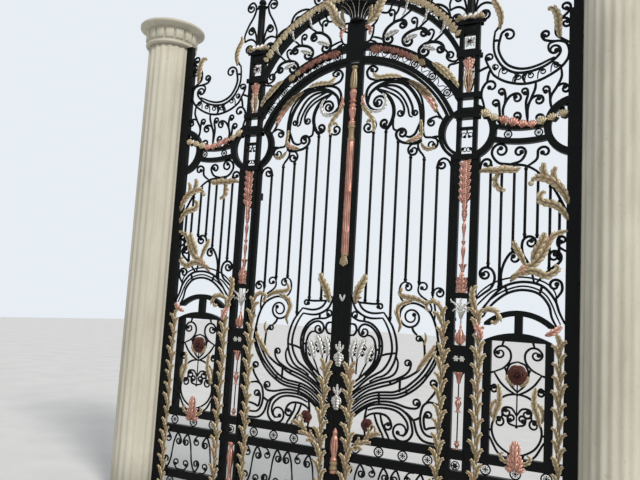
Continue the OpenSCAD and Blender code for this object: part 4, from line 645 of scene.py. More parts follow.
def rose(b, c, r, y):
    """A rose in bloom: rings of cupped petals that lean in toward a tight heart."""
    nu, nv = 7, 9
    U, V = grid(nu, nv)
    widening = 0.45 + 0.55 * np.sin(np.pi * np.clip(U * 0.75, 0, 1))
    # petals, radius, spread, turn and height of each ring
    rings = ((6, 1.0, 0.62, 0.0, 0.10), (6, 0.86, 0.6, 0.5, 0.26), (5, 0.68, 0.58, 0.2, 0.44),
             (4, 0.5, 0.56, 0.7, 0.60), (3, 0.34, 0.5, 0.1, 0.74), (2, 0.2, 0.4, 0.6, 0.84))
    for n, r1, spread, turn, height in rings:
        half = math.pi / n * (1 + spread * 0.55)
        for i in range(n):
            ang = 2 * math.pi * (i + turn) / n + half * V * widening
            rad = r * (r1 * 0.25 + r1 * 0.75 * U - 0.10 * r1 * U**3 * np.abs(V) ** 2.2)
            h = r * (height * (0.35 + 0.65 * U**0.8) - 0.10 * U**6 - 0.05 * np.cos(3 * V) * U)
            v = np.stack([c[0] + rad * np.cos(ang), y - h * 0.62, c[1] + rad * np.sin(ang)], -1)
            add_sheet(b, v, nu, nv, np.clip(0.1 + 0.9 * U**2, 0, 1), 1.6, -1, 0.3)
    boss(b, c, r * 0.2, r * 0.5, y - r * 0.36, 0.2)


def fine(profile, parts=4):
    """More points on a smooth curve through a profile: radius, height and share of relief."""
    out = []
    for a, c in zip(profile, profile[1:]):
        for j in range(parts):
            t = j / parts
            s = t * t * (3 - 2 * t)
            out.append((a[0] + (c[0] - a[0]) * s, a[1] + (c[1] - a[1]) * t, a[2] + (c[2] - a[2]) * t))
    return out + [profile[-1]]


def lathe(b, x, profile, n=32, lobes=0, depth=0.0, twist=0.0, tone=None):
    """A turned form about an upright axis at x, with relief in lobes round it."""
    rows, tones = [], []
    a = np.arange(n) * 2 * math.pi / n
    for r, z, k in profile:
        wave = np.cos(lobes * a + twist * z) if lobes else 0 * a
        rr = r * (1 + depth * k * wave)
        rows.append(np.stack([x + rr * np.cos(a), rr * np.sin(a), np.full(n, z)], 1))
        tones.append(np.clip(0.5 + 0.45 * k * wave, 0, 1) if tone is None else np.full(n, tone))
    ends = [tuple(range(n))[::-1], tuple((len(rows) - 1) * n + i for i in range(n))]
    b.add(np.concatenate(rows), grid_faces(len(rows), n, True) + ends, np.concatenate(tones))


def block(b, x0, x1, y0, y1, z0, z1, e=3.0):
    """A squared bar with its edges taken off."""
    m = bmesh.new()
    bmesh.ops.create_cube(m, size=1.0)
    for v in m.verts:
        v.co = [a if k < 0 else c for k, a, c in zip(v.co, (x0, y0, z0), (x1, y1, z1))]
    bmesh.ops.bevel(m, geom=m.edges[:], offset=e, segments=1, affect="EDGES")
    m.verts.index_update()
    b.add([tuple(v.co) for v in m.verts], [tuple(v.index for v in q.verts) for q in m.faces])
    m.free()


# Materials
def feed(t, socket, w):
    """Gives a socket a number, a colour or another node's output."""
    if isinstance(w, (int, float)):
        socket.default_value = w
    elif isinstance(w, tuple):
        socket.default_value = (*w, 1)
    else:
        t.links.new(w, socket)


def node(t, kind, *inputs, **settings):
    n = t.nodes.new("ShaderNode" + kind)
    for k, v in settings.items():
        setattr(n, k, v)
    for k, w in inputs:
        feed(t, n.inputs[k], w)
    return n


def material(name, dress):
    """A material from what dress gives: colour, roughness, the bump's height, strength and distance,
    and the shader's own numbers."""
    m = bpy.data.materials.new(name)
    m.use_nodes = True
    t = m.node_tree
    t.nodes.clear()
    colour, rough, relief, own = dress(t, node(t, "NewGeometry").outputs["Position"])
    shader = node(t, "BsdfPrincipled", ("Base Color", colour), ("Roughness", rough), *own.items())
    if relief:
        n = node(t, "Bump", *zip(("Height", "Strength", "Distance"), relief))
        t.links.new(n.outputs[0], shader.inputs["Normal"])
    node(t, "OutputMaterial", ("Surface", shader.outputs[0]))
    return m


def noise(t, coord, scale, detail=4.0, rough=0.5, stretch=None):
    if stretch:
        n = node(t, "Mapping", ("Vector", coord))
        n.inputs["Scale"].default_value = stretch
        coord = n.outputs[0]
    n = node(t, "TexNoise", ("Scale", scale), ("Detail", detail), ("Roughness", rough), ("Vector", coord))
    return n.outputs["Fac"]


def ramp(t, fac, stops):
    n = node(t, "ValToRGB", (0, fac))
    e = n.color_ramp.elements
    while len(e) < len(stops):
        e.new(0.5)
    for k, (p, c) in enumerate(stops):
        e[k].position = p
        e[k].color = (*c, 1)
    return n.outputs[0]


def greys(t, fac, p0, v0, p1, v1):
    return ramp(t, fac, [(p0, (v0,) * 3), (p1, (v1,) * 3)])


def maths(t, op, a, c):
    return node(t, "Math", (0, a), (1, c), operation=op).outputs[0]


def mix(t, fac, a, c):
    return node(t, "Mix", (0, fac), (6, a), (7, c), data_type="RGBA").outputs[2]


def tone_ramp(t, *stops):
    """A colour for each tone, from the hollows to the edges."""
    return ramp(t, node(t, "Attribute", attribute_name="tone").outputs["Fac"], stops)


def iron(t, co):
    up = node(t, "SeparateXYZ", (0, node(t, "NewGeometry").outputs["Normal"])).outputs["Z"]
    base = ramp(t, noise(t, co, 2.2, 5), [(0.35, (0.0015, 0.0018, 0.0017)), (0.7, (0.0034, 0.0038, 0.0035))])
    dust = maths(t, "MULTIPLY", greys(t, up, 0.35, 0.0, 1.0, 0.42), noise(t, co, 14, 4))
    return (mix(t, dust, base, (0.052, 0.049, 0.040)), greys(t, noise(t, co, 60, 3), 0.3, 0.36, 0.75, 0.56),
            (noise(t, co, 130, 3, 0.6), 0.22, 0.0012), {"Specular IOR Level": 0.12})


def gold(t, co):
    grain = noise(t, co, 70, 4)
    body = tone_ramp(t, (0.05, (0.046, 0.031, 0.015)), (0.38, (0.205, 0.150, 0.080)),
                     (0.75, (0.40, 0.315, 0.185)), (1.0, (0.66, 0.56, 0.39)))
    body = mix(t, greys(t, noise(t, co, 5.5, 4), 0.54, 0.0, 0.70, 0.5), body, (0.36, 0.205, 0.135))
    spots = maths(t, "MULTIPLY", greys(t, grain, 0.30, 1.0, 0.42, 0.0), 0.45)
    return (mix(t, spots, body, (0.055, 0.038, 0.020)), greys(t, grain, 0.3, 0.55, 0.7, 0.36),
            (noise(t, co, 90, 4, 0.6), 0.3, 0.0015), {"Metallic": 0.3})


def copper(t, co):
    body = tone_ramp(t, (0.1, (0.12, 0.048, 0.036)), (0.45, (0.50, 0.235, 0.175)), (1.0, (0.82, 0.50, 0.40)))
    worn = greys(t, noise(t, co, 9, 5), 0.42, 0.0, 0.66, 0.8)
    return (mix(t, worn, body, (0.30, 0.130, 0.092)), greys(t, noise(t, co, 80, 4), 0.3, 0.48, 0.7, 0.28),
            (noise(t, co, 110, 4, 0.6), 0.25, 0.0014), {"Metallic": 0.5})


def silver(t, co):
    grain = noise(t, co, 60, 4)
    body = tone_ramp(t, (0.1, (0.16, 0.16, 0.155)), (0.6, (0.62, 0.60, 0.56)), (1.0, (0.82, 0.80, 0.76)))
    return body, greys(t, grain, 0.3, 0.5, 0.7, 0.3), (grain, 0.25, 0.0012), {"Metallic": 0.55}


def enamel(t, co):
    grain = noise(t, co, 70, 4)
    body = tone_ramp(t, (0.0, (0.006, 0.0012, 0.001)), (0.5, (0.022, 0.003, 0.003)),
                     (0.85, (0.070, 0.013, 0.010)), (1.0, (0.24, 0.105, 0.075)))
    return body, greys(t, grain, 0.3, 0.30, 0.7, 0.5), (grain, 0.25, 0.001), {"Specular IOR Level": 0.25}


def stone(t, co):
    grain, pits = noise(t, co, 120, 6, 0.65), noise(t, co, 34, 3, 0.5)
    veins = noise(t, co, 3.0, 8, 0.6, (1.0, 1.0, 0.25))
    streak = noise(t, co, 5.0, 5, 0.6, (3.5, 3.5, 0.12))
    body = ramp(t, veins, [(0.3, (0.44, 0.410, 0.325)), (0.52, (0.55, 0.520, 0.428)),
                           (0.72, (0.62, 0.590, 0.500))])
    body = mix(t, maths(t, "MULTIPLY", greys(t, streak, 0.5, 0.0, 0.75, 1.0), 0.35), body, (0.40, 0.37, 0.29))
    dark = maths(t, "MULTIPLY", greys(t, pits, 0.26, 1.0, 0.36, 0.0), 0.4)
    height = maths(t, "ADD", maths(t, "MULTIPLY", grain, 0.5), greys(t, pits, 0.26, 0.0, 0.4, 1.0))
    return (mix(t, dark, body, (0.36, 0.32, 0.25)), greys(t, grain, 0.3, 0.86, 0.7, 0.66),
            (height, 0.35, 0.003), {"Specular IOR Level": 0.3})


def pale_floor(t, co):
    colour = ramp(t, noise(t, co, 1.5, 3), [(0.3, (0.60, 0.60, 0.59)), (0.7, (0.66, 0.66, 0.65))])
    return colour, 0.9, None, {}


# each finish is a material and the record's slot
IRON = material("black_iron_paint", iron), "black_iron"
GOLD = material("antique_gilt", gold), "gilt"
COPPER = material("rose_copper", copper), "copper"
SILVER = material("pale_silver", silver), "gilt"
ROSE = material("dark_red_enamel", enamel), "rose_red"
STONE = material("cream_limestone", stone), "stone"

for name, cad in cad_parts.items():
    finish = STONE if "column" in name else IRON
    for word, other in (("balusters", COPPER), ("cover_column", COPPER), ("garlands", GOLD), ("rose", ROSE)):
        if word in name:
            finish = other
    cad.data.materials.clear()
    cad.data.materials.append(finish[0])


def ring_unit(b, x, z, d):
    """A ring between two rails with a small wheel of petals in it."""
    torus(b, (x, z), d / 2 - 6.5, 13, SCROLL_T)
    r = d / 2 - 13
    for i in range(4):
        a = math.pi / 4 + i * math.pi / 2
        between = a + math.pi / 4
        sweep(b, [ray(x, z, a, 6), ray(x, z, a, r + 3)], 5.0, 7.0)
        boss(b, ray(x, z, between, r * 0.56), r * 0.2, 8)
        sweep(b, [[x, z], ray(x, z, between, r * 0.5)], 4.0, 6.0)
    boss(b, (x, z), r * 0.3, 13)


def low_panel(b, x0, x1, n):
    """Two ring rows with a row of paired scrolls between them, n bays wide."""
    w = (x1 - x0) / n
    for foot, top in RING_ROWS:
        for i in range(n):
            ring_unit(b, x0 + (x1 - x0) * (i + 0.5) / n, (foot + top) / 2, top - foot)
    foot, top = SCROLL_ROW
    h, edge = top - foot, SCROLL_W / 2 - 2
    for i in range(n):
        for t in (1, -1):
            at = (SCROLL_T, x0 + w * (i + 0.5), foot + h / 2, t if i < n / 2 else -t)
            bar(b, (0, 0, w * 0.07, t * h * 0.27, w * 0.24, t * (h / 2 - edge), w * 0.44, t * h * 0.3,
                    (w * 0.3, t * h * 0.27, -t * 1.1)), SCROLL_W, *at)
            bar(b, (-w * 0.5, t * (h / 2 - 4), -w * 0.3, t * (h / 2 - edge), -w * 0.12, t * h * 0.33,
                    (-w * 0.26, t * h * 0.31, -t * 0.85)), SCROLL_W * 0.8, *at)


# The two leaves
swirl = Build()
HEAVY = {0: 30, 2: 40, 4: 28, 7: 42, 8: 30, 10: 28, 12: 30, 14: 28, 17: 28}
for k, row in enumerate(SWIRL):
    bar(swirl, row, HEAVY.get(k, 24))
for row in BAR_FEET:
    bar(swirl, row)
for row in LEAF_BARS:
    upright(swirl, *row)
pair("swirl_bars", swirl, IRON, "leaf_swirl", leaf=True)

shell = Build()
for row in SHELL:
    bar(shell, row, 24)
pair("shell_bars", shell, IRON, "leaf_shell", leaf=True)

low = Build()
low_panel(low, 100.0, 1054.0, 4)
pair("low_bars", low, IRON, "leaf_base", leaf=True)

gilding = Build()
garland(gilding, (1030, 60, 1030, 560, 1034, 1000, 1040, 1400, 1044, 1800, 1040, 2080, 1026, 2190),
        92, ON_LEAF, 1, 1.9)
garland(gilding, (134, 60, 132, 480, 150, 880, 146, 1120, 136, 1360, 122, 1540), 104, ON_LEAF)
garland(gilding, (150, 800, 215, 862, 285, 905, 360, 960, 410, 1010), 88, ON_BAR - 6, 1, 1.0)
leaves(gilding, ON_LEAF, (
    (62, 0, 6, 0.3, 0.3, 0, 128, 1500, 112, 1560, 92, 1610, 62, 1650),
    (58, 0, 6, 0.3, 0.3, 0, 128, 1490, 138, 1560, 154, 1620, 190, 1664)))
leaves(gilding, ON_BAR, (
    (96, 0, 8, 0.3, 0.2, 0, 146, 2226, 154, 2300, 178, 2370, 216, 2436, 240, 2480, 246, 2524),
    (40, -6, 5, 0.2, 0, 0, 212, 2296, 176, 2286, 152, 2300, 146, 2330),
    (56, 0, 8, 0.2, 0, 0, 604, 1976, 622, 2041, 597, 2127, 584, 2180, 616, 2238, 670, 2266, 730, 2278),
    (62, 0, 9, 0.3, 0.3, 0, 880, 2244, 829, 2282, 765, 2306, 690, 2318, 636, 2330, 614, 2352, 630, 2404),
    (66, 0, 6, 0.3, 0.2, 0, 800, 1628, 846, 1689, 893, 1753, 942, 1817, 972, 1880),
    (30, 0, 5, 0.2, 0, 0, 852, 1870, 872, 1900, 880, 1950, 868, 1990),
    # on the head of the swirl; the two leaves along its top take shade 0.15, a painted light from the sky that
    # makes them lighter
    (54, 0, 6, 0.3, 0.2, 0.15, 340, 4552, 290, 4556, 246, 4572, 216, 4608),
    (88, 0, 9, 0.22, 0, -0.35, 588, 4490, 668, 4440, 742, 4376, 810, 4296, 866, 4212, 900, 4130),
    (58, 0, 10, 0.26, 0, 0.1, 132, 4396, 112, 4344, 116, 4276, 152, 4216, 206, 4152, 240, 4092, 250, 4030,
     238, 3972),
    (40, 0, 5, 0.2, 0, 0, 244, 4110, 214, 4100, 184, 4104, 164, 4086),
    (58, -4, 8, 0.3, 0, 0.15, 232, 4540, 300, 4552, 380, 4556, 456, 4548, 520, 4534),
    (58, -3, 6, 0.3, 0, 0, 596, 3852, 660, 3866, 716, 3886, 750, 3940),
    (40, -5, 6, 0.2, 0, 0, 750, 3860, 758, 3930, 752, 4000, 744, 4070),
    (52, -3, 6, 0.3, 0.2, 0, 752, 3836, 786, 3786, 840, 3762, 896, 3784)))
pair("leaf_gilding", gilding, GOLD, "leaf_garlands", leaf=True)

leaf_blush = Build()
leaves(leaf_blush, ON_BAR, (
    (56, -14, 5, 0.2, 0, 0, 740, 4330, 790, 4296, 848, 4222, 884, 4150),
    (34, -16, 4, 0.2, 0, 0, 640, 3858, 690, 3874, 734, 3912),
    (34, -14, 4, 0.2, 0, 0, 150, 4256, 120, 4310, 106, 4372)))
pair("leaf_copper", leaf_blush, COPPER, leaf=True)

# pale plumes on iron stems in the heart of each leaf: width, plume, stem and two curls beside it
plumes, stems = Build(), Build()
PLUMES = [
    (66, (134, 1690, 128, 1752, 140, 1820, 166, 1882), (160, 1560, 146, 1630, 134, 1700),
     (170, 1742, 182, 1800)),
    (70, (190, 1690, 206, 1762, 230, 1830, 262, 1890), (184, 1540, 186, 1620, 192, 1700),
     (246, 1742, 266, 1800)),
    (64, (286, 1650, 300, 1716, 322, 1780, 352, 1836), (216, 1500, 256, 1590, 292, 1662),
     (334, 1700, 346, 1752))
]
for w, plume, stem, curls in PLUMES:
    sweep(stems, smooth_path(points(stem)), 16, SCROLL_T)
    plume = points(plume)
    for face, share in ((-1, 1.0), (1, 0.9)):
        acanthus(plumes, plume, w * share, face * (-ON_BAR - 4), 7, 0, 0.26, 0.1, face)
    for (x, z), (cx, cz) in zip(plume[1:], points(curls)):
        bar(stems, (x, z, (x + cx) / 2, z + 14, cx + 6, cz + 16, (cx, cz, -0.5)), 10, 12)
leaves(plumes, ON_BAR, (
    (42, 0, 12, 0.2, 0, 0, 176, 4226, 214, 4204, 268, 4192, 318, 4206, 352, 4246, 366, 4300, 352, 4350,
     320, 4384),))
pair("leaf_stems", stems, IRON, leaf=True)
pair("leaf_plumes", plumes, SILVER, leaf=True)

bloom = Build()
rose(bloom, (330, 1070), 66, ON_BAR)
pair("leaf_bloom", bloom, ROSE, "leaf_rose", leaf=True)

# Side panels
side = Build()
for w, rows in ((26, SIDE_HIGH + SIDE_MID), (17, SIDE_ARCS), (13, SIDE_CURLS)):
    for row in rows:
        bar(side, row, w)
for row in SIDE_BARS:
    upright(side, *row)
for a in (8.2, -8.2):
    ring_unit(side, *polar((SIDE_CX, SAG_CENTRE), 180 + a, SAG_R), 80)
pair("side_bars", side, IRON, "side_scrolls")

side_low = Build()
low_panel(side_low, SIDE_X0 + 34, SIDE_X1 - 34, 3)
pair("side_low_bars", side_low, IRON, "side_base")

door = Build()
for row in DOOR_HALF:
    bar(door, row, SCROLL_W + 1)
    bar(door, row, SCROLL_W + 1, SCROLL_T, 2 * SIDE_CX, 0, -1)
sweep(door, [[SIDE_CX, z] for z in (1235, 1417.5, 1600)], 12, 12 * 0.9)
boss(door, (SIDE_CX, 1235), 14, 18)
boss(door, (SIDE_CX, 1512), 13, 18)
pair("door_bars", door, IRON, "small_panel")

SAG = points((1308, 4052, 1400, 4006, 1500, 3962, 1600, 3924, 1715, 3896, 1830, 3896, 1930, 3932, 2020, 3962,
              2118, 3986))
side_gold = Build()
garland(side_gold, (1376, 60, 1372, 500, 1379, 1000, 1373, 1500, 1376, 2000, 1358, 2140, 1340, 2220),
        92, ON_FRAME)
garland(side_gold, (2062, 60, 2065, 500, 2059, 1000, 2065, 1500, 2062, 1960), 90, ON_FRAME)
crozier(side_gold, [1356, 2180], 0.75, 190, ON_FRAME - 4, -1)
leaves(side_gold, ON_FRAME, (
    (70, 0, 8, 0.3, 0.2, 0, 1348, 2190, 1330, 2260, 1308, 2340, 1314, 2420, 1352, 2446),
    (56, 0, 5, 0.3, 0.2, 0, 2062, 1940, 2056, 2010, 2032, 2060),
    # branches over the bars of the big opening
    (46, 2, 4, 0.3, 0.3, 0, 1520, 3508, 1548, 3526, 1566, 3566),
    (92, 4, 10, 0.3, 0, 0, 2114, 3190, 2086, 3272, 2046, 3334, 2000, 3386, 1957, 3411, 1900, 3430, 1836, 3436,
     1800, 3410),
    (76, 0, 5, 0.3, 0.3, 0, 1966, 3410, 1926, 3450, 1900, 3500, 1906, 3566),
    (62, 0, 5, 0.3, 0.3, 0, 2010, 3380, 1996, 3430, 1986, 3470, 2006, 3526),
    (84, 4, 10, 0.3, 0, 0, 2114, 3050, 2078, 3116, 2040, 3160, 2000, 3188, 1946, 3202, 1896, 3218, 1874, 3250,
     1890, 3296, 1926, 3306),
    (78, 4, 16, 0.3, 0, 0, 1634, 2500, 1686, 2547, 1722, 2592, 1768, 2634, 1812, 2640, 1856, 2680, 1904, 2738,
     1938, 2808, 1962, 2868, 2000, 2916, 2070, 2946, 2116, 2960),
    (68, 0, 7, 0.3, 0.2, 0, 1764, 2640, 1740, 2700, 1713, 2754, 1680, 2810, 1659, 2866),
    (86, 0, 8, 0.3, 0.2, 0, 1826, 2656, 1838, 2730, 1866, 2790, 1902, 2862, 1926, 2940),
    (80, 2, 13, 0.3, 0.1, 0, 1640, 2540, 1700, 2566, 1758, 2584, 1830, 2600, 1884, 2582, 1938, 2558,
     1990, 2580, 2030, 2606, 2034, 2642, 2004, 2648),
    (36, -6, 4, 0.2, 0, 0, 1800, 2600, 1812, 2632, 1800, 2668)))
leaves(side_gold, ON_FRAME, (
    (92, 4, 9, 0.3, 0.1, 0, 1326, 3512, 1407, 3517, 1480, 3504, 1551, 3510, 1620, 3504, 1672, 3508,
     1706, 3536),), side=1)
leaves(side_gold, ON_FRAME, (
    (74, 4, 7, 0.3, 0, 0, 1536, 3504, 1504, 3462, 1492, 3425, 1506, 3378, 1536, 3348, 1574, 3338),), side=-1)
boss(side_gold, [1796, 3386], 25, 30, ON_FRAME - 6, 0.8)
# shells at the two ends of the sagging rail and along its back, and the two tall leaves above it
shell_row(side_gold, SAG, 9, 110, 88, ON_FRAME + 4, -1, 0.12, 0.3, (2, 3, 4, 5))
shell_row(side_gold, SAG, 10, 84, 60, FRAME_D / 2 - 4, 1, 0.12)
leaves(side_gold, ON_BAR, (
    (84, 0, 9, 0.3, 0.2, 0, 1482, 4890, 1500, 4970, 1496, 5040, 1470, 5110, 1436, 5180, 1440, 5230),), side=1)
leaves(side_gold, ON_BAR, (
    (84, 0, 9, 0.3, 0.1, 0, 2020, 4730, 2006, 4830, 2002, 4910, 1982, 4980, 1944, 5028, 1912, 5010),))
# small panel
leaves(side_gold, ON_BAR, (
    (58, 0, 9, 0.3, 0.2, 0, 196, 1250, 178, 1340, 150, 1420, 146, 1500, 158, 1590),
    (44, 0, 6, 0.2, 0, 0, 206, 1290, 222, 1350, 206, 1410, 176, 1450),
    (34, 0, 5, 0.2, 0, 0, 20, 1580, 52, 1600, 84, 1632, 92, 1676),
    (42, ON_FRAME - ON_BAR, 6, 0.3, 0.2, 0, 16, 952, 60, 936, 106, 952, 124, 990, 98, 1014)),
    SIDE_CX, 0, (1, -1))
pair("side_gilding", side_gold, GOLD, "side_garlands")

side_copper = Build()
shell_row(side_copper, SAG, 9, 112, 90, ON_FRAME + 4, -1, 0.12, 0.0, (0, 1, 6, 7, 8))
leaves(side_copper, ON_FRAME, (
    (74, -16, 5, 0.3, 0, 0, 1398, 1966, 1392, 2020, 1368, 2070, 1336, 2116),
    (64, -4, 5, 0.3, 0, 0, 1940, 2040, 1990, 2062, 2040, 2096, 2072, 2128),
    (60, -16, 6, 0.3, 0, 0, SIDE_CX, 880, SIDE_CX, 960, SIDE_CX, 1040, SIDE_CX, 1120),
    (30, -12, 4, 0.2, 0, 0, 2000, 3400, 1940, 3428, 1880, 3436),
    (30, -12, 4, 0.2, 0, 0, 2060, 3140, 1990, 3196, 1930, 3206),
    (30, -12, 4, 0.2, 0, 0, 1700, 2572, 1760, 2596, 1830, 2604),
    (30, -12, 4, 0.2, 0, 0, 1722, 2592, 1768, 2636, 1812, 2642)))
leaves(side_copper, ON_FRAME, (
    (56, -4, 5, 0.3, 0, 0, 6, 868, 30, 900, 44, 950, 34, 1000),
    (40, -8, 5, 0.3, 0, 0, 4, 960, 26, 1010, 30, 1060, 16, 1110),
    (44, -2, 4, 0.3, 0, 0, 10, 866, 50, 872, 80, 900)), SIDE_CX, 0, (1, -1))
pair("side_copper", side_copper, COPPER)

side_bloom = Build()
rose(side_bloom, (SIDE_CX, 1679), 92, ON_BAR)
pair("side_bloom", side_bloom, ROSE, "side_rose")

# Piers. Turned forms are shares of the radius and of the height, and the share of relief.
TURNED = [(1, 0, 0), (1, 0.02, 0), (0.55, 0.035, 0), (0.42, 0.16, 0.3), (0.5, 0.3, 0.8), (0.8, 0.5, 1),
          (0.95, 0.62, 1), (0.8, 0.74, 0.8), (0.45, 0.82, 0.2), (0.42, 0.87, 0), (0.85, 0.93, 0),
          (0.9, 1, 0)]
SPIKED = [(0.35, 0, 0), (0.42, 0.2, 0.3), (0.6, 0.6, 0.8), (1, 0.95, 1), (0.95, 0.97, 1), (0.35, 1, 0)]
LEAFY = [(0.55, 0, 0.4), (0.8, 0.12, 0.8), (0.95, 0.5, 1), (0.8, 0.8, 1), (1, 0.94, 1), (0.6, 1, 0.4)]
WINDOW_Z, LANTERN_Z = 4500, 4810

slot_copper = Build()
# foot, top, radius, how often, form, lobes and relief of the turned pieces in the pier's slot
BALUSTERS = [
    (2360, 2600, 20, 1, TURNED, 8, 0.10), (2640, 3080, 20, 2, TURNED, 8, 0.10),
    (3080, 3640, 24, 7, LEAFY, 6, 0.2), (2560, 2650, 33, 1, SPIKED, 6, 0.2),
    (300, 700, 40, 1, TURNED, 8, 0.10), (4293, 4653, 34, 1, TURNED, 8, 0.10),
    (1556, 1662, 44, 1, SPIKED, 8, 0.16), (1300, 1430, 30, 1, TURNED, 8, 0.10),
    (972, 1040, 26, 1, TURNED, 8, 0.10)
]
for z0, z1, r, n, form, lobes, depth in BALUSTERS:
    h = (z1 - z0) / n
    profile = [(q[0] * r, z0 + (i + q[1]) * h, q[2]) for i in range(n) for q in form]
    lathe(slot_copper, PIER_X, fine(profile, 3), 32, lobes, depth)
BUD_LEAF = (44, 0, 5, 0.3, 0, 0, 4, 2380, 24, 2430, 38, 2480, 36, 2524)
leaves(slot_copper, -8, (BUD_LEAF, (34, 0, 4, 0.3, 0, 0, 4, 2362, 26, 2386, 46, 2424),
                         (32, 0, 5, 0.2, 0, 0, 4, 1902, 26, 1930, 38, 1966, 26, 2010)), PIER_X, 0, (1, -1))
leaves(slot_copper, 8, (BUD_LEAF,), PIER_X, 0, (1, -1), 1)
leaves(slot_copper, 0, ((62, -14, 6, 0.3, 0, 0, 0, 2366, 0, 2440, 0, 2510, 0, 2574),), PIER_X)
for k in range(6):
    for m in (1, -1):
        for face, y in ((-1, -14 - 3 * (k % 2)), (1, 14)):
            leaves(slot_copper, y, ((46, 0, 4, 0.3, 0.3, -0.1, 4, 0, 22, 30, 36, 58, 50, 74),),
                   PIER_X, 3226 + 66 * k + 12 * m, (m,), face)
    leaves(slot_copper, -24, ((44, 0, 4, 0.3, 0.2, 0, 0, 3220, 0, 3256, 0, 3296),), PIER_X, 66 * k)
for k in range(4):
    leaves(slot_copper, -16, ((26 + 5 * k, 0, 4, 0.3, 0.2, 0, 0, 3090, 0, 3120, 0, 3150),), PIER_X, 40 * k)
for face in (-1, 1):
    for x, w in ((0, 46), (-30, 40), (30, 40), (-46, 34), (46, 34)):
        p = points((x * 0.2, 0, x * 0.5, 50, x * 0.85, 94, x * 1.1, 140 - abs(x) * 0.5), PIER_X, WINDOW_Z)
        acanthus(slot_copper, p, w, face * (26 - abs(x) * 0.2), 5, 0, 0.3, 0.35, face)
SPEAR = [(4, 1900, 0), (24, 1925, 1), (34, 1985, 1), (20, 2030, 1), (8, 2055, 0), (12, 2070, 0), (6, 2085, 0)]
lathe(slot_copper, PIER_X, fine(SPEAR), 24, 6, 0.08)
pair("baluster_copper", slot_copper, COPPER, "pier_balusters")

fleur = Build()
FLEUR_STEM = [(6, 2085, 0), (9, 2120, 0), (5, 2150, 0), (8, 2200, 0), (6, 2250, 0), (4, 2330, 0)]
lathe(fleur, PIER_X, fine(FLEUR_STEM), 16)
for m in (1, -1):
    bar(fleur, (0, 2120, 18, 2180, 38, 2235, (40, 2258, -0.6)), 11, 10, PIER_X, 0, m)
leaves(fleur, -2, ((16, 0, 5, 0.2, 0, 0, 2, 2130, 10, 2180, 12, 2230, 30, 2280),), PIER_X, 0, (1, -1))
leaves(fleur, ON_FRAME - 2, (
    (19, 0, 7, 0.2, 0.2, 0, 4, 2196, 24, 2240, 58, 2282, 86, 2300, 92, 2322),
    (15, 0, 5, 0.2, 0.2, 0, 6, 2170, 30, 2214, 58, 2226, 70, 2208)), PIER_X, 0, (1, -1))
leaves(fleur, ON_FRAME, ((24, -4, 6, 0.3, 0, 0, 0, 2180, 0, 2250, 0, 2330),), PIER_X)
sweep(fleur, [[PIER_X, z] for z in (2150, 2200, 2240)], 20, FRAME_D * 0.9, -8)
for x in (-27, 27):
    rosette(fleur, (PIER_X + x, 1780), 27, ON_FRAME)
for i in range(8):
    a = math.pi / 8 + i * math.pi / 4
    petal(fleur, ray(PIER_X, LANTERN_Z, a, 14), a, 42, -8)
# shells on the pier's cap, silver in the middle and gilt round them
CAP_SHELL_Z = CAP_TOP - 4
# place, lean, width, height, distance from the middle plane and tone
CAP_SHELLS = [(84, 0.35, 52, 78, 34, 0), (66, 0.2, 44, 54, 46, 0), (22, 0, 44, 50, 48, 0.1),
              (108, 0.7, 40, 50, 36, 0)]
wreath = Build()
for face in (-1, 1):
    for i in (-1, 0, 1):
        scallop(fleur, (PIER_X + i * 44, CAP_SHELL_Z), math.pi / 2 - i * 0.16, 54, 84, face * 30, face, 0.2)
    for x, w in ((-17, 30), (17, 30)):
        xz = (x * 0.6, 4304, x * 1.6, 4370, x * 2.1, 4430, x * 1.4, 4490, x * 2.2, 4530)
        acanthus(wreath, points(xz, PIER_X), w, face * 22, 6, 0, 0.25, 0.2, face, 0.15)
    for m in (1, -1):
        for x, lean, w, h, y, tone in CAP_SHELLS:
            at = (PIER_X + m * x, CAP_SHELL_Z)
            scallop(wreath, at, math.pi / 2 - m * lean, w, h, face * y, face, tone)
pair("pier_fleur", fleur, SILVER)
pair("pier_wreath", wreath, GOLD)

trim = Build()
for z0, z1 in ((3936, 3960), (4087, 4150), (4701, 4728), (4884, 4984)):
    block(trim, PIER_X - 58, PIER_X + 58, -26, 26, z0, z1)
for z in (4728, 4884):
    sweep(trim, [[PIER_X + x, z] for x in (-54, 0, 54)], 9, 60)
for m in (1, -1):
    bar(trim, (0, 3946, 10, 3890, 34, 3862, (30, 3886, 0.9)), 9, 12, PIER_X, 0, m)
    bar(trim, (56, 3690, 44, 3740, 16, 3764, (20, 3742, 0.8)), 9, 12, PIER_X, 0, m)
rosette(trim, (PIER_X, 834), 30, ON_FRAME - 14)
torus(trim, (PIER_X, 834), 36, 9, 14, ON_FRAME - 4)
lathe(trim, PIER_X, [(6, 960, 0), (6, 1670, 0)], 12)
for k in range(4):
    a = math.pi / 4 + k * math.pi / 2
    row = (*ray(0, 0, a, 18), *ray(0, 0, a, 40), 58 * math.cos(a), 64 * math.sin(a))
    bar(trim, row, 8, 10, PIER_X, LANTERN_Z)
# round post on the cap with a moulded foot and a turned, pointed head
POST = [(62, 5012, 0), (64, 5018, 0), (60, 5034, 0), (46, 5044, 0), (40, 5066, 0), (40, 5540, 0),
        (54, 5550, 0), (54, 5562, 0), (24, 5576, 0), (44, 5606, 0), (34, 5634, 0), (12, 5652, 0), (2, 5680, 0)]
lathe(trim, PIER_X, fine(POST, 3))
pair("pier_trim", trim, IRON)
lantern = Build()
rosette(lantern, (PIER_X, LANTERN_Z), 26, -22)
pair("lantern_flower", lantern, ROSE)

# Overthrow
over = Build()
for k, row in enumerate(TYMPANUM):
    bar(over, row, 34 if k < 3 else 23)
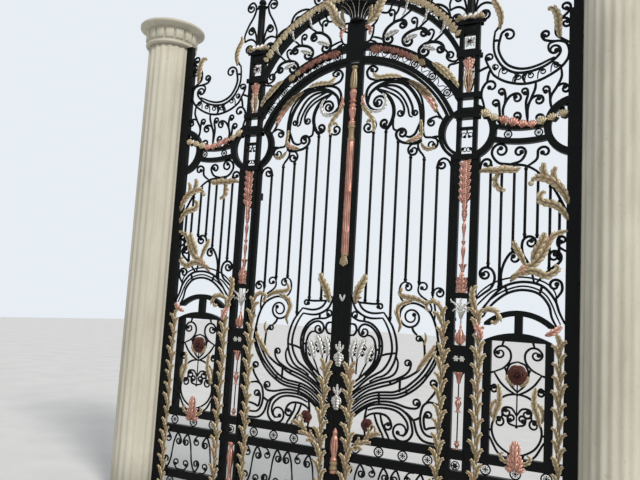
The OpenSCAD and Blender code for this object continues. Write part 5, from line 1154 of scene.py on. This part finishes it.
# small curls between the two hoops of the crown: degrees from their foot, and radius
HOOP_CURL = [(0, 1232), (0.4, 1262), (1.6, 1290), (3.0, 1286)]
for a in (27.0, 38.7, 49.6):
    for m in (1, -1):
        row = [v for d, r in HOOP_CURL for v in polar(CROWN, a + m * d, r)]
        bar(over, row + [(*polar(CROWN, a + m * 2.6, 1264), -m * 0.8)], 12, 12)
over = over.mirrored(True)
# ribbed cup on the keystone
CUP_Z, CUP_RIBS, CUP_RELIEF = KEY_TOP - 1, 14, 0.07
CUP = [(84, 0, 0), (84, 14, 0), (76, 22, 0.4), (80, 58, 1), (96, 92, 1), (124, 122, 1), (160, 146, 0.8),
       (184, 154, 0.1), (184, 170, 0), (150, 176, 0), (70, 180, 0), (70, 206, 0)]
lathe(over, 0.0, [(r, CUP_Z + z, k) for r, z, k in fine(CUP)], 112, CUP_RIBS, CUP_RELIEF)
# pale silver strips down the grooves of the fluted iron cup: painted highlights along its ribs
highlight_strips = Build()
rows = fine(CUP[2:8], 3)
corners = ((-3.0, -2.6), (3.4, -2.6), (3.4, 2.6), (-3.0, 2.6))
v = [(r * (1 - CUP_RELIEF * k) + d, s, CUP_Z + z) for r, z, k in rows for d, s in corners]
ends = [(3, 2, 1, 0), tuple(len(v) - 4 + j for j in range(4))]
for i in range(CUP_RIBS):
    highlight_strips.add(spun(v, 2 * math.pi * (i + 0.5) / CUP_RIBS), grid_faces(len(rows), 4, True) + ends, 0.75)
make("cup_highlights", highlight_strips, SILVER)
make("overthrow_bars", over, IRON, replaces=["overthrow_scrolls"])

rings = Build()
for a in np.arange(9.8, 60, 11.4):
    ring_unit(rings, *polar(ARCH, a, RING_ROW_R), 78)
    for m in (1, -1):
        sweep(rings, [polar(ARCH, a + m * 2.4, RING_ROW_R + d) for d in (-39, 0, 39)], 9, 12)
    if a < 55:
        wave = ((2.8, 24), (4.2, 8), (5.2, -22), (6.2, -22), (7.2, 8), (8.6, 24))
        sweep(rings, smooth_path([polar(ARCH, a + d, RING_ROW_R + r) for d, r in wave]), 8, 11)
make("overthrow_ring_row", rings.mirrored(True), IRON, replaces=["overthrow_rings"])

crest = Build()
for row in CREST:
    bar(crest, row, 26, SCROLL_T, 0, CROWN_TOP)
# scrolls on both sides of each post, up from the pier's cap, and the tie that holds them to it
for row in CAP_SIDE:
    for m in (1, -1):
        bar(crest, row, 25, SCROLL_T, PIER_X, CAP_TOP, m)
make("crest_bars", crest.mirrored(True), IRON, replaces=["overthrow_crest"])


def shell_arc(b, c, r, a0, a1, parts, *row):
    shell_row(b, arc(c, r, a0, a1, parts)[::-1], *row)


over_gold = Build()
acanthus(over_gold, arc(ARCH, ARCH_OUT + 6, 41, 57, 6), 72, ON_FRAME, 9, 1, 0.3)
acanthus(over_gold, arc(ARCH, ARCH_OUT - 10, 40, 52, 5), 56, ON_FRAME - 8, 7, 0, 0.3, 0.2)
leaves(over_gold, ON_FRAME, (
    (112, 0, 11, 0.3, 0, 0.1, 120, 5150, 176, 5180, 226, 5226, 252, 5288, 276, 5350, 330, 5416, 420, 5466),
    (54, -4, 6, 0.3, 0.2, 0, 130, 5196, 160, 5250, 164, 5310, 140, 5356)))
shell_arc(over_gold, CROWN, CROWN_OUT - 10, 2, 58, 12, 25, 58, 88, ON_FRAME + 8, -1, 0.12, 0.36)
shell_arc(over_gold, CROWN, CROWN_OUT - 14, 2, 58, 12, 24, 44, 56, ON_FRAME, -1, 0.14, 0.5)
shell_arc(over_gold, CROWN, CROWN_OUT - 10, 2, 58, 12, 25, 58, 80, FRAME_D / 2 - 8, 1, 0.10)
shell_arc(over_gold, ARCH, ARCH_OUT - 20, 30, 38, 4, 2, 96, 74, ON_FRAME, -1, 0.1)
make("overthrow_gilding", over_gold.mirrored(True), GOLD, replaces=["overthrow_garlands"])

over_copper = Build()
shell_arc(over_copper, ARCH, ARCH_OUT - 22, 9, 31, 8, 5, 120, 80, ON_FRAME, -1, 0.24, -0.48)
shell_arc(over_copper, ARCH, ARCH_OUT - 26, 11, 29, 8, 4, 70, 52, ON_FRAME - 10, -1, 0.3, -0.34)
shell_arc(over_copper, ARCH, ARCH_OUT - 20, 9, 38, 8, 7, 104, 68, FRAME_D / 2, 1, 0.1, -0.2)
leaves(over_copper, ON_FRAME, ((50, 0, 6, 0.3, 0.1, -0.1, 96, 5128, 140, 5112, 166, 5076, 160, 5022),))
make("overthrow_copper", over_copper.mirrored(True), COPPER)

# pale leaves inside the arched scrolls and over the inner hoop
pale = Build()
for face in (-1, 1):
    leaves(pale, 2 * face, (
        (62, 0, 4, 0.08, 0, -0.12, 466, 5038, 400, 5020, 318, 4984),
        (58, 0, 4, 0.08, 0, -0.12, 664, 4962, 600, 4946, 522, 4914),
        (58, 0, 4, 0.08, 0, -0.12, 856, 4782, 800, 4806, 730, 4828)), face=face)
leaves(pale, ON_FRAME, (
    (27, 0, 6, 0.25, 0.1, -0.25, 504, 5176, 534, 5222, 548, 5280, 566, 5334),
    (27, 0, 6, 0.25, 0.1, -0.25, 716, 5064, 748, 5110, 760, 5160, 784, 5206),
    (27, 0, 6, 0.25, 0.1, -0.25, 900, 4930, 936, 4976, 948, 5020, 974, 5056)))
make("overthrow_silver", pale.mirrored(True), SILVER)

# Cover column on the right leaf
cover, cover_gold, cover_iron, cover_silver = Build(), Build(), Build(), Build()
COVER = [(30, 2690, 0), (40, 2722, 0), (42, 2760, 1), (42, 2936, 1), (44, 2940, 0), (44, 2958, 0),
         (41, 2962, 1), (41, 3350, 1), (44, 3354, 0), (44, 3372, 0), (40, 3376, 1), (39, 3900, 1),
         (30, 3910, 0), (30, 4060, 0), (38, 4084, 0), (40, 4100, 0), (24, 4128, 0), (34, 4190, 1),
         (41, 4236, 1), (32, 4262, 0.5), (40, 4270, 0), (40, 4286, 0), (28, 4296, 0), (30, 4310, 0),
         (42, 4318, 0), (42, 4330, 0), (30, 4342, 0), (36, 4390, 1), (41, 4420, 1), (34, 4448, 0.5),
         (24, 4462, 0)]
LOW_COVER = [(30, 566, 0), (40, 572, 0), (40, 592, 0), (32, 600, 0), (32, 680, 0), (40, 700, 0),
             (28, 722, 0), (34, 760, 0.6), (43, 800, 1), (45, 836, 1), (40, 890, 1), (24, 936, 0),
             (28, 946, 0), (30, 962, 0), (22, 974, 0), (8, 1004, 0)]
SPINDLE = [(26, 4456, 0), (38, 4466, 0), (42, 4500, 1), (42, 4560, 1), (36, 4620, 1), (28, 4660, 0.5),
           (26, 4676, 0), (36, 4688, 0), (36, 4706, 0), (10, 4716, 0)]
COLLARS = [(34, 3892, 0), (43, 3900, 0), (43, 3926, 0), (35, 3936, 0), (32, 3990, 0.6), (34, 4030, 0.6),
           (43, 4044, 0), (43, 4064, 0), (30, 4074, 0)]
LOW_COLLARS = [(34, 596, 0), (43, 604, 0), (43, 622, 0), (36, 630, 0), (36, 650, 0), (43, 658, 0),
               (43, 676, 0), (34, 684, 0)]
DROP = [(8, 2610, 0), (16, 2640, 0.4), (26, 2676, 1), (38, 2704, 1), (43, 2712, 0), (43, 2724, 0),
        (36, 2730, 0)]
lathe(cover, 0.0, fine(COVER), 48, 12, 0.07, 0.004)
for b, profile, lobes, depth in ((cover, LOW_COVER, 10, 0.07), (cover_gold, SPINDLE, 10, 0.06),
                                 (cover_gold, COLLARS, 12, 0.06), (cover_gold, LOW_COLLARS, 0, 0),
                                 (cover_gold, DROP, 8, 0.1)):
    lathe(b, 0.0, fine(profile), 40, lobes, depth)
for i in range(5):
    a = -math.pi / 2 + (i - 2) * 0.5
    c = math.cos(a)
    xz = (8 * c, 2716, 24 * c, 2680, 40 * c, 2640, 44 * c, 2600 + abs(i - 2) * 12)
    acanthus(cover_gold, points(xz), 32, -16 - 12 * math.sin(-a), 5)
make("cover_gilding", cover_gold, GOLD, "right_leaf")
make("cover_copper", cover, COPPER, "right_leaf", ["cover_column"])
block(cover_iron, -46, 52, -8, 20, 62, 4745, 2)
make("cover_flat", cover_iron, IRON, "right_leaf", flat=True)
for z in (1300, 1722):
    leaves(cover_silver, 0, (
        (84, -10, 6, 0.3, 0, -0.1, 0, 14, 0, -30, 0, -76, 0, -124),
        (34, -12, 5, 0.3, 0, 0, 0, 6, 0, 46, 0, 86, 0, 118)), 0, z)
    leaves(cover_silver, 0, (
        (34, -16, 5, 0.3, 0.1, 0, 4, 10, 26, -6, 40, -30, 38, -66),
        (28, -8, 5, 0.3, 0.1, 0, 4, 8, 16, 40, 34, 64, 42, 92)), 0, z, (1, -1))
    boss(cover_silver, (0, z + 10), 16, 28, -24)
    boss(cover_silver, (0, z + 118), 10, 18, -16)
leaves(cover_silver, 0, ((24, -10, 4, 0.3, 0.2, 0, 0, 2244, 10, 2268, 22, 2296, 26, 2314),), 0, 0, (1, -1))
make("cover_silver", cover_silver, SILVER, "right_leaf")

# Stone: the fluted shaft, then a ring moulding, a drum of upright panels and a thin round slab
shaft = Build()
lathe(shaft, COLUMN_X, [(SHAFT_R - 6, z, 1) for z in np.linspace(0, SHAFT_H, 12)], 200, 20, 0.021, tone=0.5)
pair("column_stone", shaft, STONE, "column_shaft")

capital = Build()
R, SLAB_R, FOOT, PANELS = SHAFT_R, 386.0, SHAFT_H - 14.0, 16
PROFILE = [(R - 8, 0), (R + 10, 0.5), (R + 30, 5), (R + 37, 14), (R + 37, 26), (R + 31, 37), (R + 16, 45),
           (R + 20, 52), (R + 24, 56), (R + 24, 196), (R + 32, 206), (SLAB_R - 44, 216),
           (SLAB_R - 12, 224), (SLAB_R, 232), (SLAB_R, 256), (SLAB_R - 6, 262), (3, 264)]
lathe(capital, COLUMN_X, [(r, FOOT + z, 0) for r, z in PROFILE], 120, tone=0.5)
panel = Build()
block(panel, R + 10, R + 40, -46, 46, FOOT + 66, FOOT + 190, 5)
for i in range(PANELS):
    capital.add(spun(panel.v[0], 2 * math.pi * (i + 0.5) / PANELS, COLUMN_X), panel.f)
pair("capital_stone", capital, STONE, "column_capital")

# Floor and light
floor_mesh = bpy.data.meshes.new("floor")
corners = [(x, y, -0.002) for x, y in ((-40, -40), (45, -40), (45, 60), (-40, 60))]
floor_mesh.from_pydata(corners, [], [(0, 1, 2, 3)])
floor_mesh.materials.append(material("floor_pale", pale_floor))
floor = put("floor", floor_mesh)

world = bpy.data.worlds.new("studio")
bpy.context.scene.world = world
world.use_nodes = True
wt = world.node_tree
wt.nodes.clear()
rays = node(wt, "LightPath").outputs
seen = maths(wt, "MAXIMUM", rays["Is Camera Ray"], rays["Is Glossy Ray"])
seen = maths(wt, "MAXIMUM", seen, rays["Is Transmission Ray"])
light = node(wt, "Background", (0, (0.93, 0.96, 1.0)), (1, 0.62)).outputs[0]
backdrop = node(wt, "Background", (0, (0.80, 0.85, 0.90)), (1, 1.0)).outputs[0]
node(wt, "OutputWorld", (0, node(wt, "MixShader", (0, seen), (1, light), (2, backdrop)).outputs[0]))

sun = bpy.data.lights.new("sun", "SUN")
sun.energy = 2.25
sun.angle = math.radians(14)
sun.color = (1.0, 0.965, 0.91)
put("sun", sun).rotation_euler = Vector((-0.74, 0.52, -0.75)).to_track_quat("-Z", "Y").to_euler()

# Camera where the photograph was taken from
YAW, PITCH, ROLL = (math.radians(v) for v in (26.0403, -6.2325, -3.3595))
FOCAL_PIXELS, SENSOR, IMAGE_W = 627.2067, 36.0, 640
level = Matrix(((1, 0, 0), (0, 0, -1), (0, 1, 0))) @ Matrix.Rotation(-YAW, 3, "Z")
to_view = Matrix.Rotation(-ROLL, 3, "Z") @ Matrix.Rotation(PITCH, 3, "X") @ level
camera = bpy.data.cameras.new("camera")
camera.sensor_width = SENSOR
camera.lens = FOCAL_PIXELS / IMAGE_W * SENSOR
cam_obj = put("camera", camera)
pose = (Matrix.Diagonal((1, -1, -1)) @ to_view).transposed().to_4x4()
pose.translation = Vector((COLUMN_X / 1000 + 2.5534, -5.8259, 2.16))
cam_obj.matrix_world = pose
bpy.context.scene.camera = cam_obj
bpy.context.scene.view_settings.view_transform = "Standard"
